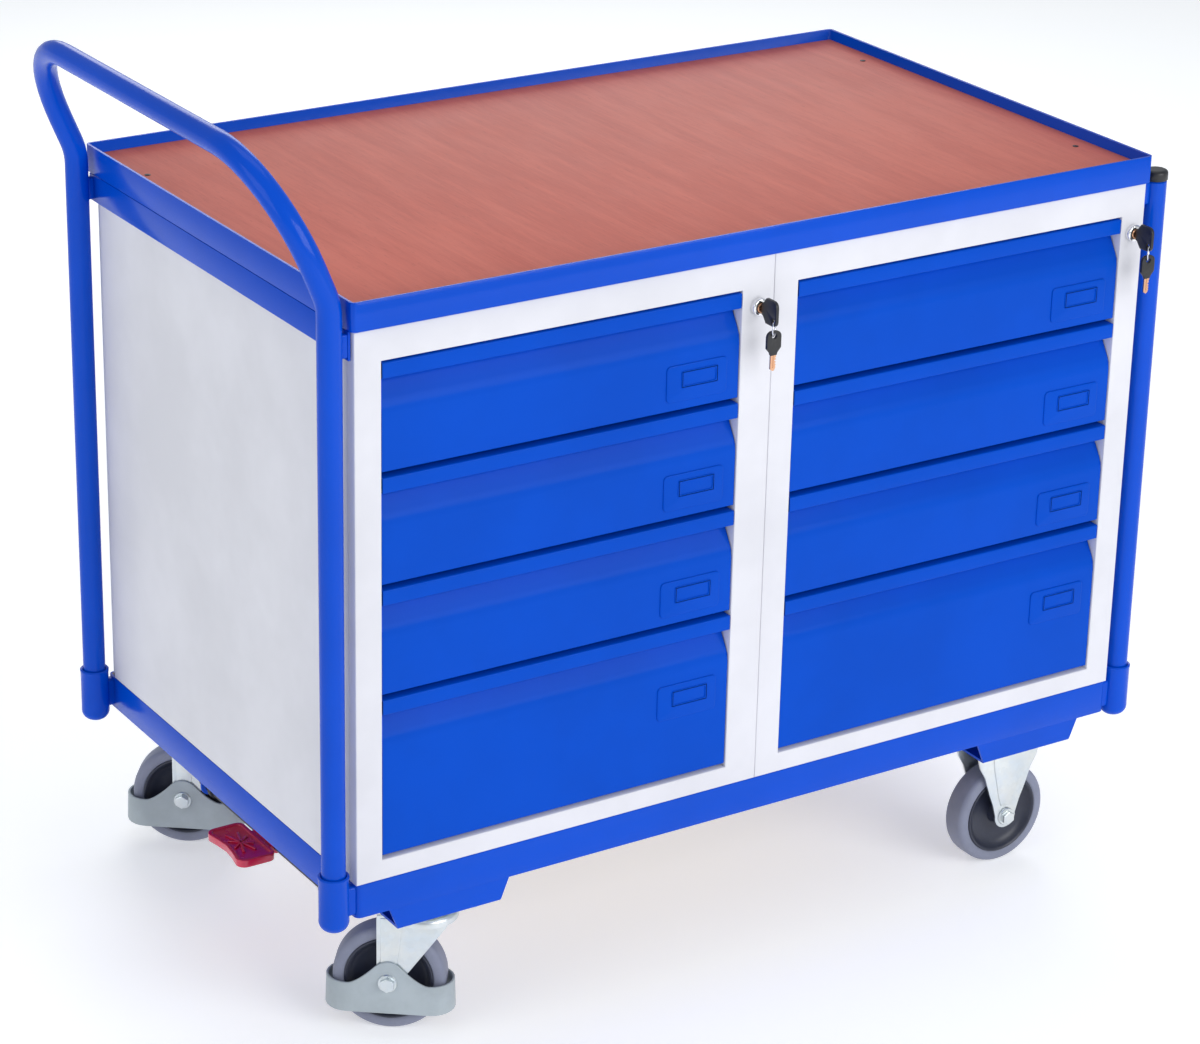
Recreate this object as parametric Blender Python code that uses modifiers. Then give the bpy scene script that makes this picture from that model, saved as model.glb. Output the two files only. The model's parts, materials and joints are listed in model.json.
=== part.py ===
"""Mobile workbench with two lockable drawer cabinets on casters.

Metres, +Z up, the floor at z = 0. The drawers open towards -Y and the push handle is at the -X end.
Every piece is its own object, and a piece that moves has its origin, or its parent's, on its joint's axis.
"""

import math

import bmesh
import bpy
from mathutils import Matrix, Vector

MM = 0.001

# Clearance between pieces that touch, and between pieces that slide or turn.
GAP = 0.3 * MM
RUNNING = 0.5 * MM

# Plan of the base frame, which the rest is set out from
BASE_LENGTH = 1012 * MM
BASE_WIDTH = 607 * MM

# Casters
WHEEL_RADIUS = 62.5 * MM
WHEEL_WIDTH = 32 * MM
WHEEL_SIDES = 32
TREAD_THICKNESS = 16.5 * MM
HUB_RECESS = 5 * MM
WHEEL_BOSS_RADIUS = 13 * MM
WHEEL_BOSS_WIDTH = 38 * MM
AXLE_RADIUS = 6 * MM
AXLE_HEAD_RADIUS = 10 * MM
AXLE_HEAD_THICKNESS = 7 * MM
HEAD_ABOVE_WHEEL = 35 * MM
CASTER_FROM_END = 114 * MM
CASTER_FROM_SIDE = 53.5 * MM
CASTER_PLATE_LENGTH = 105 * MM
CASTER_PLATE_WIDTH = 85 * MM
CASTER_PLATE_THICKNESS = 4 * MM
RACE_RADIUS = 33 * MM
RACE_HEIGHT = 9 * MM
FORK_SHEET = 3 * MM
FORK_CROWN_RADIUS = 34 * MM
FORK_FOOT_RADIUS = 11 * MM
FORK_TOP_REACH = 26 * MM
SWIVEL_TRAIL = 38 * MM
SWIVEL_HEADING = math.radians(-37)
GUARD_PAST_WHEEL = 8.5 * MM
GUARD_WALL = 3 * MM
GUARD_FOOT_BELOW_AXLE = 37.5 * MM
GUARD_EDGE_BELOW_AXLE = 2.5 * MM
GUARD_HUMP_ABOVE_AXLE = 25.5 * MM
FIXED_FORK_TOP_LENGTH = 92 * MM

# Base frame
BASE_HEIGHT = 39 * MM
FRAME_SHEET = 3 * MM
LEDGE_WIDTH = 35 * MM
BASE_BOARD_THICKNESS = 16 * MM
BRACKET_LENGTH = 150 * MM
BRACKET_DEPTH = 100 * MM
BRACKET_HEIGHT = 27 * MM
BRACKET_SLANT = 12 * MM
BRACKET_SET_BACK = 0.6 * MM
CROSS_BAR_WIDTH = 60 * MM

# Corner tubes and their sockets
TUBE_RADIUS = 13 * MM
TUBE_SIDES_RESOLUTION = 6
SOCKET_FIT = 0.1 * MM
SOCKET_SIDES = 16
POST_PAST_TRAY = 5 * MM
POST_FROM_SIDE = 9.5 * MM
SOCKET_WALL = 3.3 * MM
SOCKET_BELOW_BASE = 11 * MM
SOCKET_ABOVE_BASE = 15 * MM
SOCKET_FLOOR = 12 * MM
WELD_WIDTH = 12 * MM
CAP_THICKNESS = 12 * MM
POST_TOP_BELOW_RIM = 34 * MM

# Push handle
HANDLE_BEND_BELOW_RIM = 2 * MM
HANDLE_LEAN = math.radians(22.7)
HANDLE_BEND_RADIUS = 70 * MM
HANDLE_CORNER_RADIUS = 114 * MM
HANDLE_RISE = 144 * MM

# Tray frame, work top and end rails
TRAY_PAST_BASE_END = 4 * MM
TRAY_PAST_BASE_SIDE = 5 * MM
TRAY_HEIGHT = 31 * MM
TRAY_GAP = 1.5 * MM
TRAY_LEDGE_WIDTH = 30 * MM
WORK_TOP_THICKNESS = 15 * MM
END_RAIL_HEIGHT = 31 * MM
END_PANEL_THICKNESS = 4 * MM

# Cabinets
CABINET_HEIGHT = 616 * MM
CABINET_SHORT_OF_BASE = 3 * MM
CABINET_SHEET = 1.2 * MM
FACE_PAST_BASE = 0.5 * MM
FACE_RETURN = 14 * MM
OPENING_RETURN = 22 * MM
TOP_RAIL = 35 * MM
BOTTOM_RAIL = 23 * MM
HINGE_STILE = 31 * MM
LOCK_STILES = (40 * MM, 31.5 * MM)

# Drawers
SHALLOW_DRAWERS = 3
SHALLOW_FRONT_HEIGHT = 118 * MM
FRONT_GAP = 5.7 * MM
FRONT_SIDE_GAP = 1.2 * MM
FRONT_TOP_GAP = 2.5 * MM
FRONT_BOTTOM_GAP = 4 * MM
FRONT_SHEET = 1.2 * MM
LIP_HEIGHT = 17 * MM
SCOOP_DEPTH = 19 * MM
SCOOP_HEIGHT = 30 * MM
PANEL_RECESS = 2 * MM
LABEL_WIDTH = 76 * MM
LABEL_RAISE = 1.2 * MM
LABEL_WINDOW_WIDTH = 50 * MM
LABEL_WINDOW_SHARE = 0.565
LABEL_FROM_EDGE = 17 * MM
LABEL_BELOW_SCOOP = 17 * MM
LABEL_ABOVE_FOOT = 8 * MM
BOX_SHEET = 1.0 * MM
BOX_REAR_SPACE = 83.5 * MM
BOX_SIDE_INSET = 12 * MM
BOX_ABOVE_FRONT_FOOT = 8 * MM
BOX_TOP_BELOW_FRONT = 25 * MM
TRAVEL_LEFT_INSIDE = 80 * MM

# Runner ladders
RUNNER_PAST_BOX = 12 * MM
RUNNER_START = 26 * MM
RUNNER_HEIGHT = 16 * MM
RUNNER_SHEET = 1.5 * MM
RUNNER_BELOW_BOX_TOP = 22 * MM
UPRIGHT_THICKNESS = 3 * MM
UPRIGHT_FROM_ENDS = (50 * MM, 60 * MM)

# Locks and keys
LOCK_BELOW_OPENING_TOP = 20 * MM
LOCK_FLANGE_RADIUS = 10 * MM
LOCK_FLANGE_THICKNESS = 7 * MM
LOCK_BODY_RADIUS = 7.5 * MM
LOCK_BODY_DEPTH = 26 * MM
PLUG_RADIUS = 5.5 * MM
PLUG_PROUD = 0.6 * MM
CAM_LENGTH = 24 * MM
CAM_WIDTH = 9 * MM
CAM_THICKNESS = 2 * MM
KEY_SHEET = 1.8 * MM
KEY_BLADE_WIDTH = 7 * MM
KEY_BLADE_LENGTH = 22 * MM
KEY_BOW = 27 * MM
KEY_BOW_WIDTH = 28 * MM
KEY_BOW_THICKNESS = 3.4 * MM
KEY_HOLE_RADIUS = 3.4 * MM
KEY_HOLE_INSET = 5.5 * MM
KEY_HOLE_DROP = 8 * MM
RING_RADIUS = 8 * MM
RING_WIRE = 0.7 * MM
RING_TURN = math.radians(45)
SPARE_BOW_WIDTH = 18 * MM
KEY_TRAVEL = 30 * MM

# Central brake
BRAKE_FROM_END = 54 * MM
BRAKE_BELOW_HEAD = 29 * MM
BRAKE_SHAFT_RADIUS = 6 * MM
SHAFT_PAST_HANGER = 15 * MM
HANGER_Y = 150 * MM
PEDAL_WIDTH = 88 * MM
PEDAL_LENGTH = 46 * MM
PEDAL_THICKNESS = 9 * MM
PEDAL_REACH = 59 * MM
PEDAL_HUB_WIDTH = 44 * MM
PEDAL_HUB_RADIUS = 10 * MM

# Places set out from the sizes above
HUB_RADIUS = WHEEL_RADIUS - TREAD_THICKNESS
CASTER_HEIGHT = 2 * WHEEL_RADIUS + HEAD_ABOVE_WHEEL
CASTER_X = BASE_LENGTH / 2 - CASTER_FROM_END
CASTER_Y = BASE_WIDTH / 2 - CASTER_FROM_SIDE
GUARD_LENGTH = 2 * (WHEEL_RADIUS + GUARD_PAST_WHEEL)
GUARD_BOTTOM = WHEEL_RADIUS - GUARD_FOOT_BELOW_AXLE
GUARD_TOP = WHEEL_RADIUS - GUARD_EDGE_BELOW_AXLE
GUARD_HUMP_TOP = WHEEL_RADIUS + GUARD_HUMP_ABOVE_AXLE
TRAY_LENGTH = BASE_LENGTH + 2 * TRAY_PAST_BASE_END
TRAY_WIDTH = BASE_WIDTH + 2 * TRAY_PAST_BASE_SIDE
POST_X = TRAY_LENGTH / 2 + POST_PAST_TRAY + TUBE_RADIUS
POST_Y = BASE_WIDTH / 2 - POST_FROM_SIDE
CABINET_DEPTH = BASE_WIDTH - CABINET_SHORT_OF_BASE
FACE_Y = -(BASE_WIDTH / 2 + FACE_PAST_BASE)
BRAKE_X = -BASE_LENGTH / 2 + BRAKE_FROM_END
BRAKE_Z = CASTER_HEIGHT - BRAKE_BELOW_HEAD
BRAKE_SHAFT_LENGTH = 2 * (HANGER_Y + SHAFT_PAST_HANGER)
LABEL_BELOW_TOP = LIP_HEIGHT + SCOOP_HEIGHT + LABEL_BELOW_SCOOP
LABEL_HEIGHT = SHALLOW_FRONT_HEIGHT - LABEL_BELOW_TOP - LABEL_ABOVE_FOOT
LABEL_WINDOW_HEIGHT = LABEL_HEIGHT * LABEL_WINDOW_SHARE

# Levels and lines that several pieces share
BASE_BOTTOM = CASTER_HEIGHT + BRACKET_HEIGHT
BASE_TOP = BASE_BOTTOM + BASE_HEIGHT
CABINET_BOTTOM = BASE_TOP + GAP
CABINET_TOP = CABINET_BOTTOM + CABINET_HEIGHT
TRAY_BOTTOM = CABINET_TOP + TRAY_GAP
RIM_TOP = TRAY_BOTTOM + TRAY_HEIGHT
SOCKET_RADIUS = TUBE_RADIUS + GAP + SOCKET_WALL
SOCKET_BOTTOM = BASE_BOTTOM - SOCKET_BELOW_BASE
SOCKET_TOP = BASE_TOP + SOCKET_ABOVE_BASE
POST_BOTTOM = SOCKET_BOTTOM + SOCKET_FLOOR + GAP
OPENING_BOTTOM = CABINET_BOTTOM + BOTTOM_RAIL
OPENING_TOP = CABINET_TOP - TOP_RAIL
CABINET_OUTER_X = BASE_LENGTH / 2 - GAP
FRONT_HEIGHT_SPACE = OPENING_TOP - OPENING_BOTTOM - FRONT_TOP_GAP - FRONT_BOTTOM_GAP
DEEP_FRONT_HEIGHT = FRONT_HEIGHT_SPACE - SHALLOW_DRAWERS * (SHALLOW_FRONT_HEIGHT + FRONT_GAP)
BODY_INSET = END_PANEL_THICKNESS + GAP
BOX_FRONT_Y = FACE_Y + SCOOP_DEPTH + FRONT_SHEET + GAP
BOX_DEPTH = FACE_Y + CABINET_DEPTH - BOX_REAR_SPACE - BOX_FRONT_Y
DRAWER_TRAVEL = BOX_DEPTH - TRAVEL_LEFT_INSIDE
RUNNER_LENGTH = BOX_DEPTH + RUNNER_PAST_BOX
LOCK_Z = OPENING_TOP - LOCK_BELOW_OPENING_TOP
KEY_FACE_Y = FACE_Y - LOCK_FLANGE_THICKNESS - PLUG_PROUD
KEY_HOLE_Y = KEY_FACE_Y - 1 * MM - KEY_BOW + KEY_HOLE_INSET
KEY_HOLE_Z = LOCK_Z - KEY_HOLE_DROP
FORK_INNER = WHEEL_BOSS_WIDTH / 2 + RUNNING
GUARD_INNER = FORK_INNER + FORK_SHEET + GAP
GUARD_HALF_WIDTH = GUARD_INNER + GUARD_WALL

# The whole object is centred on its own bounding box.
HANDLE_BAR_X = -POST_X - HANDLE_RISE * math.tan(HANDLE_LEAN)
OUTER_LEFT = HANDLE_BAR_X - TUBE_RADIUS
OUTER_RIGHT = POST_X + SOCKET_RADIUS
OUTER_FRONT = KEY_HOLE_Y - RING_RADIUS * math.sin(RING_TURN) - RING_WIRE
WHEEL_BACK = CASTER_Y - SWIVEL_TRAIL * math.sin(SWIVEL_HEADING)
GUARD_REACH = GUARD_LENGTH / 2 - GUARD_HALF_WIDTH
OUTER_BACK = WHEEL_BACK - GUARD_REACH * math.sin(SWIVEL_HEADING) + GUARD_HALF_WIDTH
CENTRE_SHIFT = Vector((-(OUTER_LEFT + OUTER_RIGHT) / 2, -(OUTER_FRONT + OUTER_BACK) / 2, 0))

CABINET_NAMES = ("left", "right")
SIDE_NAMES = ("left", "right")


# ---------------------------------------------------------------- scene and materials


def clear_scene():
    """Removes what the file starts with."""
    for obj in list(bpy.data.objects):
        bpy.data.objects.remove(obj, do_unlink=True)


def make_material(name, colour, roughness, metallic):
    """A Principled material of one colour."""
    material = bpy.data.materials.new(name)
    material.use_nodes = True
    shader = material.node_tree.nodes["Principled BSDF"]
    shader.inputs["Base Color"].default_value = (*colour, 1)
    shader.inputs["Roughness"].default_value = roughness
    shader.inputs["Metallic"].default_value = metallic
    material.diffuse_color = (*colour, 1)
    return material


def make_collection(name):
    """A collection linked to the scene."""
    collection = bpy.data.collections.new(name)
    bpy.context.scene.collection.children.link(collection)
    return collection


clear_scene()
PARTS = make_collection("mobile_workbench")
CUTTERS = make_collection("cutters")
BLUE = make_material("blue_powder_coat", (0.005, 0.075, 0.60), 0.35, 0.0)
WHITE = make_material("light_grey_powder_coat", (0.72, 0.71, 0.76), 0.5, 0.0)
BEECH = make_material("beech_decor_board", (0.58, 0.19, 0.125), 0.6, 0.0)
BOARD = make_material("plain_chipboard", (0.45, 0.33, 0.22), 0.8, 0.0)
ZINC = make_material("zinc_plate", (0.62, 0.66, 0.68), 0.35, 0.9)
CHROME = make_material("chrome", (0.75, 0.75, 0.76), 0.12, 1.0)
BRASS = make_material("brass", (0.60, 0.36, 0.20), 0.3, 1.0)
BLACK = make_material("black_plastic", (0.012, 0.012, 0.014), 0.4, 0.0)
TREAD = make_material("grey_tread", (0.16, 0.17, 0.24), 0.6, 0.0)
GUARD = make_material("grey_guard_plastic", (0.40, 0.45, 0.48), 0.55, 0.0)
RED = make_material("red_pedal_plastic", (0.50, 0.004, 0.03), 0.35, 0.0)
DARK_STEEL = make_material("dark_steel", (0.03, 0.03, 0.035), 0.45, 0.7)


# ---------------------------------------------------------------- modelling helpers


def add_empty(name, location, parent=None, turn=0.0):
    """An empty that holds pieces at its place."""
    empty = bpy.data.objects.new(name, None)
    PARTS.objects.link(empty)
    empty.location = location
    empty.rotation_euler = (0, 0, turn)
    empty.parent = parent
    return empty


def add_part(name, mesh, material, parent, location=(0, 0, 0), rotation=(0, 0, 0)):
    """A visible piece."""
    mesh.materials.clear()
    mesh.materials.append(material)
    obj = bpy.data.objects.new(name, mesh)
    PARTS.objects.link(obj)
    obj.location = location
    obj.rotation_euler = rotation
    obj.parent = parent
    return obj


def add_cutter(mesh, parent, location=(0, 0, 0), rotation=(0, 0, 0)):
    """A hidden helper for a Boolean."""
    obj = bpy.data.objects.new("cutter", mesh)
    CUTTERS.objects.link(obj)
    obj.location = location
    obj.rotation_euler = rotation
    obj.parent = parent
    obj.hide_render = True
    obj.display_type = "WIRE"
    return obj


def combine(obj, mesh, operation, location=(0, 0, 0), rotation=(0, 0, 0)):
    """Joins a mesh to a piece, cuts it out or intersects with it; both share the piece's parent."""
    helper = add_cutter(mesh, obj.parent, location, rotation)
    modifier = obj.modifiers.new(operation.lower(), "BOOLEAN")
    modifier.operation = operation
    modifier.solver = "EXACT"
    modifier.object = helper
    return obj


def mesh_from(bm, name):
    """Turns a bmesh into a mesh with its faces outwards."""
    bmesh.ops.recalc_face_normals(bm, faces=bm.faces[:])
    mesh = bpy.data.meshes.new(name)
    bm.to_mesh(mesh)
    bm.free()
    return mesh


def box(low, high):
    """A box between two corners."""
    low, high = Vector(low), Vector(high)
    bm = bmesh.new()
    size = high - low
    place = Matrix.Translation((low + high) / 2) @ Matrix.Diagonal((*size, 1))
    bmesh.ops.create_cube(bm, size=1, matrix=place)
    return mesh_from(bm, "box")


def cylinder(radius, low, high, axis="Z", centre=(0, 0, 0), sides=16, radius_end=None):
    """A cylinder or cone along an axis, from low to high on that axis, with a flat facing down."""
    bm = bmesh.new()
    turns = {
        "X": Matrix.Rotation(math.pi / 2, 4, "Y"),
        "Y": Matrix.Rotation(-math.pi / 2, 4, "X"),
        "Z": Matrix.Identity(4),
    }
    direction = {"X": Vector((1, 0, 0)), "Y": Vector((0, 1, 0)), "Z": Vector((0, 0, 1))}[axis]
    middle = Vector(centre) + direction * (low + high) / 2
    half_step = Matrix.Rotation(math.pi / sides, 4, "Z")
    bmesh.ops.create_cone(
        bm,
        cap_ends=True,
        segments=sides,
        radius1=radius,
        radius2=radius if radius_end is None else radius_end,
        depth=high - low,
        matrix=Matrix.Translation(middle) @ turns[axis] @ half_step,
    )
    return mesh_from(bm, "cylinder")


def turned(profile, steps, axis="Z"):
    """A closed profile of (radius, height) points, listed down the outer side, turned about an axis."""
    mesh = bpy.data.meshes.new("turned")
    points = [(radius, 0, height) for radius, height in profile]
    count = len(points)
    mesh.from_pydata(points, [(i, (i + 1) % count) for i in range(count)], [])
    obj = bpy.data.objects.new("turned", mesh)
    CUTTERS.objects.link(obj)
    screw = obj.modifiers.new("screw", "SCREW")
    screw.steps = steps
    screw.render_steps = steps
    screw.use_merge_vertices = True
    screw.merge_threshold = 0.00001
    turn = {"Z": Matrix.Identity(4), "Y": Matrix.Rotation(-math.pi / 2, 4, "X")}[axis]
    return evaluated_mesh(obj, turn @ Matrix.Rotation(math.pi / steps, 4, "Z"))


def evaluated_mesh(obj, place=None):
    """The mesh that an object's modifiers or curve make, welded, with the object removed."""
    bpy.context.view_layer.update()
    graph = bpy.context.evaluated_depsgraph_get()
    mesh = bpy.data.meshes.new_from_object(obj.evaluated_get(graph))
    mesh.transform(obj.matrix_world if place is None else place @ obj.matrix_world)
    bm = bmesh.new()
    bm.from_mesh(mesh)
    bmesh.ops.remove_doubles(bm, verts=bm.verts[:], dist=0.00001)
    loose = [edge for edge in bm.edges if not edge.link_faces]
    bmesh.ops.delete(bm, geom=loose, context="EDGES")
    bmesh.ops.recalc_face_normals(bm, faces=bm.faces[:])
    bm.to_mesh(mesh)
    bm.free()
    bpy.data.objects.remove(obj, do_unlink=True)
    return mesh


def tube(points, radius, resolution, closed=False):
    """A round bar along points."""
    curve = bpy.data.curves.new("tube", "CURVE")
    curve.dimensions = "3D"
    curve.bevel_depth = radius
    curve.bevel_resolution = resolution
    curve.use_fill_caps = not closed
    spline = curve.splines.new("POLY")
    spline.points.add(len(points) - 1)
    spline.use_cyclic_u = closed
    for point, place in zip(spline.points, points):
        point.co = (*place, 1)
    obj = bpy.data.objects.new("tube", curve)
    CUTTERS.objects.link(obj)
    return evaluated_mesh(obj)


def outline(points, low, high, plane="XZ"):
    """A flat outline in a plane, thickened from low to high along the third axis."""
    curve = bpy.data.curves.new("outline", "CURVE")
    curve.dimensions = "2D"
    curve.fill_mode = "BOTH"
    curve.extrude = (high - low) / 2
    spline = curve.splines.new("POLY")
    spline.points.add(len(points) - 1)
    spline.use_cyclic_u = True
    for point, (u, v) in zip(spline.points, points):
        point.co = (u, v, 0, 1)
    obj = bpy.data.objects.new("outline", curve)
    CUTTERS.objects.link(obj)
    middle = (low + high) / 2
    places = {
        "XY": Matrix.Translation((0, 0, middle)),
        "XZ": Matrix.Translation((0, middle, 0)) @ Matrix.Rotation(math.pi / 2, 4, "X"),
        "YZ": Matrix.Translation((middle, 0, 0))
        @ Matrix(((0, 0, 1, 0), (1, 0, 0, 0), (0, 1, 0, 0), (0, 0, 0, 1))),
    }
    return evaluated_mesh(obj, places[plane])


def arc(centre, radius, start, end, steps):
    """Points on an arc, angles in degrees."""
    found = []
    for step in range(steps + 1):
        angle = math.radians(start + (end - start) * step / steps)
        found.append((centre[0] + radius * math.cos(angle), centre[1] + radius * math.sin(angle)))
    return found


def rounded_rectangle(width, height, radius, steps=3):
    """The outline of a rectangle with round corners, centred at the origin."""
    right, top = width / 2 - radius, height / 2 - radius
    return (
        arc((right, top), radius, 0, 90, steps)
        + arc((-right, top), radius, 90, 180, steps)
        + arc((-right, -top), radius, 180, 270, steps)
        + arc((right, -top), radius, 270, 360, steps)
    )


# ---------------------------------------------------------------- base frame


def angle_ring(name, material, parent, length, width, low, high, ledge_low, ledge_width):
    """A rectangular frame: an upright wall with a ledge inside it."""
    x, y = length / 2, width / 2
    reach = 1 * MM
    ring = add_part(name, box((-x, -y, low), (x, y, high)), material, parent)
    x_in, y_in = x - FRAME_SHEET, y - FRAME_SHEET
    combine(ring, box((-x_in, -y_in, ledge_low + FRAME_SHEET), (x_in, y_in, high + reach)), "DIFFERENCE")
    if ledge_low > low:
        combine(ring, box((-x_in, -y_in, low - reach), (x_in, y_in, ledge_low)), "DIFFERENCE")
    x_hole, y_hole = x - ledge_width, y - ledge_width
    hole = box((-x_hole, -y_hole, low - reach), (x_hole, y_hole, high + reach))
    combine(ring, hole, "DIFFERENCE")
    return ring


def caster_bracket(side_x, side_y, ledge_low):
    """A channel with slanted ends, its web below, between the base frame and a caster."""
    half = BRACKET_LENGTH / 2
    top = BASE_BOTTOM + FRAME_SHEET
    foot = half - BRACKET_SLANT
    centre_x = side_x * CASTER_X
    profile = [
        (centre_x - half, top),
        (centre_x - foot, CASTER_HEIGHT + GAP),
        (centre_x + foot, CASTER_HEIGHT + GAP),
        (centre_x + half, top),
    ]
    outer = side_y * (BASE_WIDTH / 2 - BRACKET_SET_BACK)
    inner = outer - side_y * BRACKET_DEPTH
    shell = outline(profile, min(outer, inner), max(outer, inner))
    low_y, high_y = sorted((outer, inner))
    hollow = box(
        (centre_x - half - MM, low_y + FRAME_SHEET, CASTER_HEIGHT + GAP + FRAME_SHEET),
        (centre_x + half + MM, high_y - FRAME_SHEET, top + MM),
    )
    tie_low, tie_high = sorted((inner + side_y * 0.5 * MM, inner + side_y * (FRAME_SHEET - 0.5 * MM)))
    half_tie = CROSS_BAR_WIDTH / 2 - 2 * MM
    tie = box(
        (centre_x - half_tie, tie_low, BASE_BOTTOM),
        (centre_x + half_tie, tie_high, ledge_low + FRAME_SHEET / 2),
    )
    return shell, hollow, tie


def corner_socket(side_x, side_y):
    """A cup with a rounded foot that a corner post stands in, and the bore in it."""
    radius, foot = SOCKET_RADIUS, SOCKET_RADIUS * 0.62
    profile = [
        (0, SOCKET_TOP),
        (radius, SOCKET_TOP),
        (radius, SOCKET_BOTTOM + 9 * MM),
        (radius - 2 * MM, SOCKET_BOTTOM + 4 * MM),
        (foot, SOCKET_BOTTOM),
        (0, SOCKET_BOTTOM),
    ]
    place = (side_x * POST_X, side_y * POST_Y, 0)
    bore_radius = (TUBE_RADIUS + SOCKET_FIT) / math.cos(math.pi / SOCKET_SIDES)
    bore = cylinder(bore_radius, SOCKET_BOTTOM + SOCKET_FLOOR, SOCKET_TOP + MM, sides=SOCKET_SIDES)
    return turned(profile, SOCKET_SIDES), bore, place


def build_base_frame(root):
    """The welded frame at the foot: perimeter section, cross bars, caster brackets, sockets and hangers."""
    ledge_low = BASE_TOP - GAP - BASE_BOARD_THICKNESS - GAP - FRAME_SHEET
    frame = angle_ring(
        "base_frame", BLUE, root, BASE_LENGTH, BASE_WIDTH, BASE_BOTTOM, BASE_TOP, ledge_low, LEDGE_WIDTH
    )
    for side_x in (-1, 1):
        half_bar = CROSS_BAR_WIDTH / 2
        reach_y = BASE_WIDTH / 2 - LEDGE_WIDTH + 5 * MM
        centre = side_x * CASTER_X
        bar = box(
            (centre - half_bar, -reach_y, ledge_low - MM),
            (centre + half_bar, reach_y, ledge_low + FRAME_SHEET - MM),
        )
        combine(frame, bar, "UNION")
        for side_y in (-1, 1):
            shell, hollow, tie = caster_bracket(side_x, side_y, ledge_low)
            combine(frame, shell, "UNION")
            combine(frame, hollow, "DIFFERENCE")
            combine(frame, tie, "UNION")
            cup, bore, place = corner_socket(side_x, side_y)
            web_low, web_high = sorted((side_x * (BASE_LENGTH / 2 - MM), side_x * (POST_X - TUBE_RADIUS)))
            web = box(
                (web_low, place[1] - WELD_WIDTH / 2, BASE_BOTTOM + 3 * MM),
                (web_high, place[1] + WELD_WIDTH / 2, BASE_TOP - 3 * MM),
            )
            combine(frame, web, "UNION")
            combine(frame, cup, "UNION", place)
            combine(frame, bore, "DIFFERENCE", place)
    for side_y in (-1, 1):
        add_hanger(frame, side_y, ledge_low)
    return frame


def add_hanger(frame, side_y, ledge_low):
    """A plate under the left end that carries the brake shaft."""
    centre_y = side_y * HANGER_Y
    left = -BASE_LENGTH / 2 + FRAME_SHEET / 2
    right = BRAKE_X + PEDAL_HUB_RADIUS
    top = ledge_low + FRAME_SHEET / 2
    shape = [
        (left, top),
        (left, BASE_BOTTOM + 2 * MM),
        (right - 2 * PEDAL_HUB_RADIUS, BASE_BOTTOM - 10 * MM),
        (right - 2 * PEDAL_HUB_RADIUS, BRAKE_Z - PEDAL_HUB_RADIUS),
        (right, BRAKE_Z - PEDAL_HUB_RADIUS),
        (right, top),
    ]
    plate = outline(shape, centre_y - FRAME_SHEET / 2, centre_y + FRAME_SHEET / 2)
    hole = cylinder(
        BRAKE_SHAFT_RADIUS + RUNNING, -5 * MM, 5 * MM, "Y", (BRAKE_X, centre_y, BRAKE_Z), sides=16
    )
    combine(frame, plate, "UNION")
    combine(frame, hole, "DIFFERENCE")


def build_base_board(root):
    """The board that the cabinets stand over, let into the base frame."""
    x = BASE_LENGTH / 2 - FRAME_SHEET - GAP
    y = BASE_WIDTH / 2 - FRAME_SHEET - GAP
    low = BASE_TOP - GAP - BASE_BOARD_THICKNESS
    return add_part("base_board", box((-x, -y, low), (x, y, low + BASE_BOARD_THICKNESS)), BOARD, root)


# ---------------------------------------------------------------- handle, posts, end rails and panels


def handle_path():
    """The handle's centre line: up the front post, out, over the bar and down the rear post."""
    bend_z = RIM_TOP - HANDLE_BEND_BELOW_RIM
    lean = HANDLE_LEAN
    cut = HANDLE_BEND_RADIUS * math.tan(lean / 2)
    half = [(-POST_X, -POST_Y, POST_BOTTOM)]
    bend_steps = 4
    for step in range(bend_steps + 1):
        angle = lean * step / bend_steps
        x = -POST_X - HANDLE_BEND_RADIUS * (1 - math.cos(angle))
        z = bend_z - cut + HANDLE_BEND_RADIUS * math.sin(angle)
        half.append((x, -POST_Y, z))
    leg = HANDLE_RISE / math.cos(lean)
    corner = HANDLE_CORNER_RADIUS
    corner_steps = 10
    for step in range(corner_steps + 1):
        angle = math.pi / 2 * step / corner_steps
        along = leg - corner + corner * math.sin(angle)
        y = -POST_Y + corner * (1 - math.cos(angle))
        half.append((-POST_X - along * math.sin(lean), y, bend_z + along * math.cos(lean)))
    return half + [(x, -y, z) for x, y, z in reversed(half)]


def end_rail(side_x):
    """A flat bar under the tray's end, and the tabs that join it to the posts."""
    outer = side_x * TRAY_LENGTH / 2
    inner = outer - side_x * FRAME_SHEET
    top = TRAY_BOTTOM - GAP
    low_x, high_x = sorted((outer, inner))
    reach = POST_Y + WELD_WIDTH / 2
    bar = box((low_x, -reach, top - END_RAIL_HEIGHT), (high_x, reach, top))
    tabs = []
    for side_y in (-1, 1):
        low, high = sorted((side_x * (POST_X - TUBE_RADIUS / 2), outer - side_x * MM))
        centre = side_y * POST_Y
        tabs.append(
            box(
                (low, centre - WELD_WIDTH / 2, top - END_RAIL_HEIGHT + 4 * MM),
                (high, centre + WELD_WIDTH / 2, top - 4 * MM),
            )
        )
    return bar, tabs


def build_handle(root):
    """The push handle: one bent tube with the left end rail welded to it."""
    handle = add_part("push_handle", tube(handle_path(), TUBE_RADIUS, TUBE_SIDES_RESOLUTION), BLUE, root)
    bar, tabs = end_rail(-1)
    for tab in tabs:
        combine(handle, tab, "UNION")
    combine(handle, bar, "UNION")
    return handle


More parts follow.
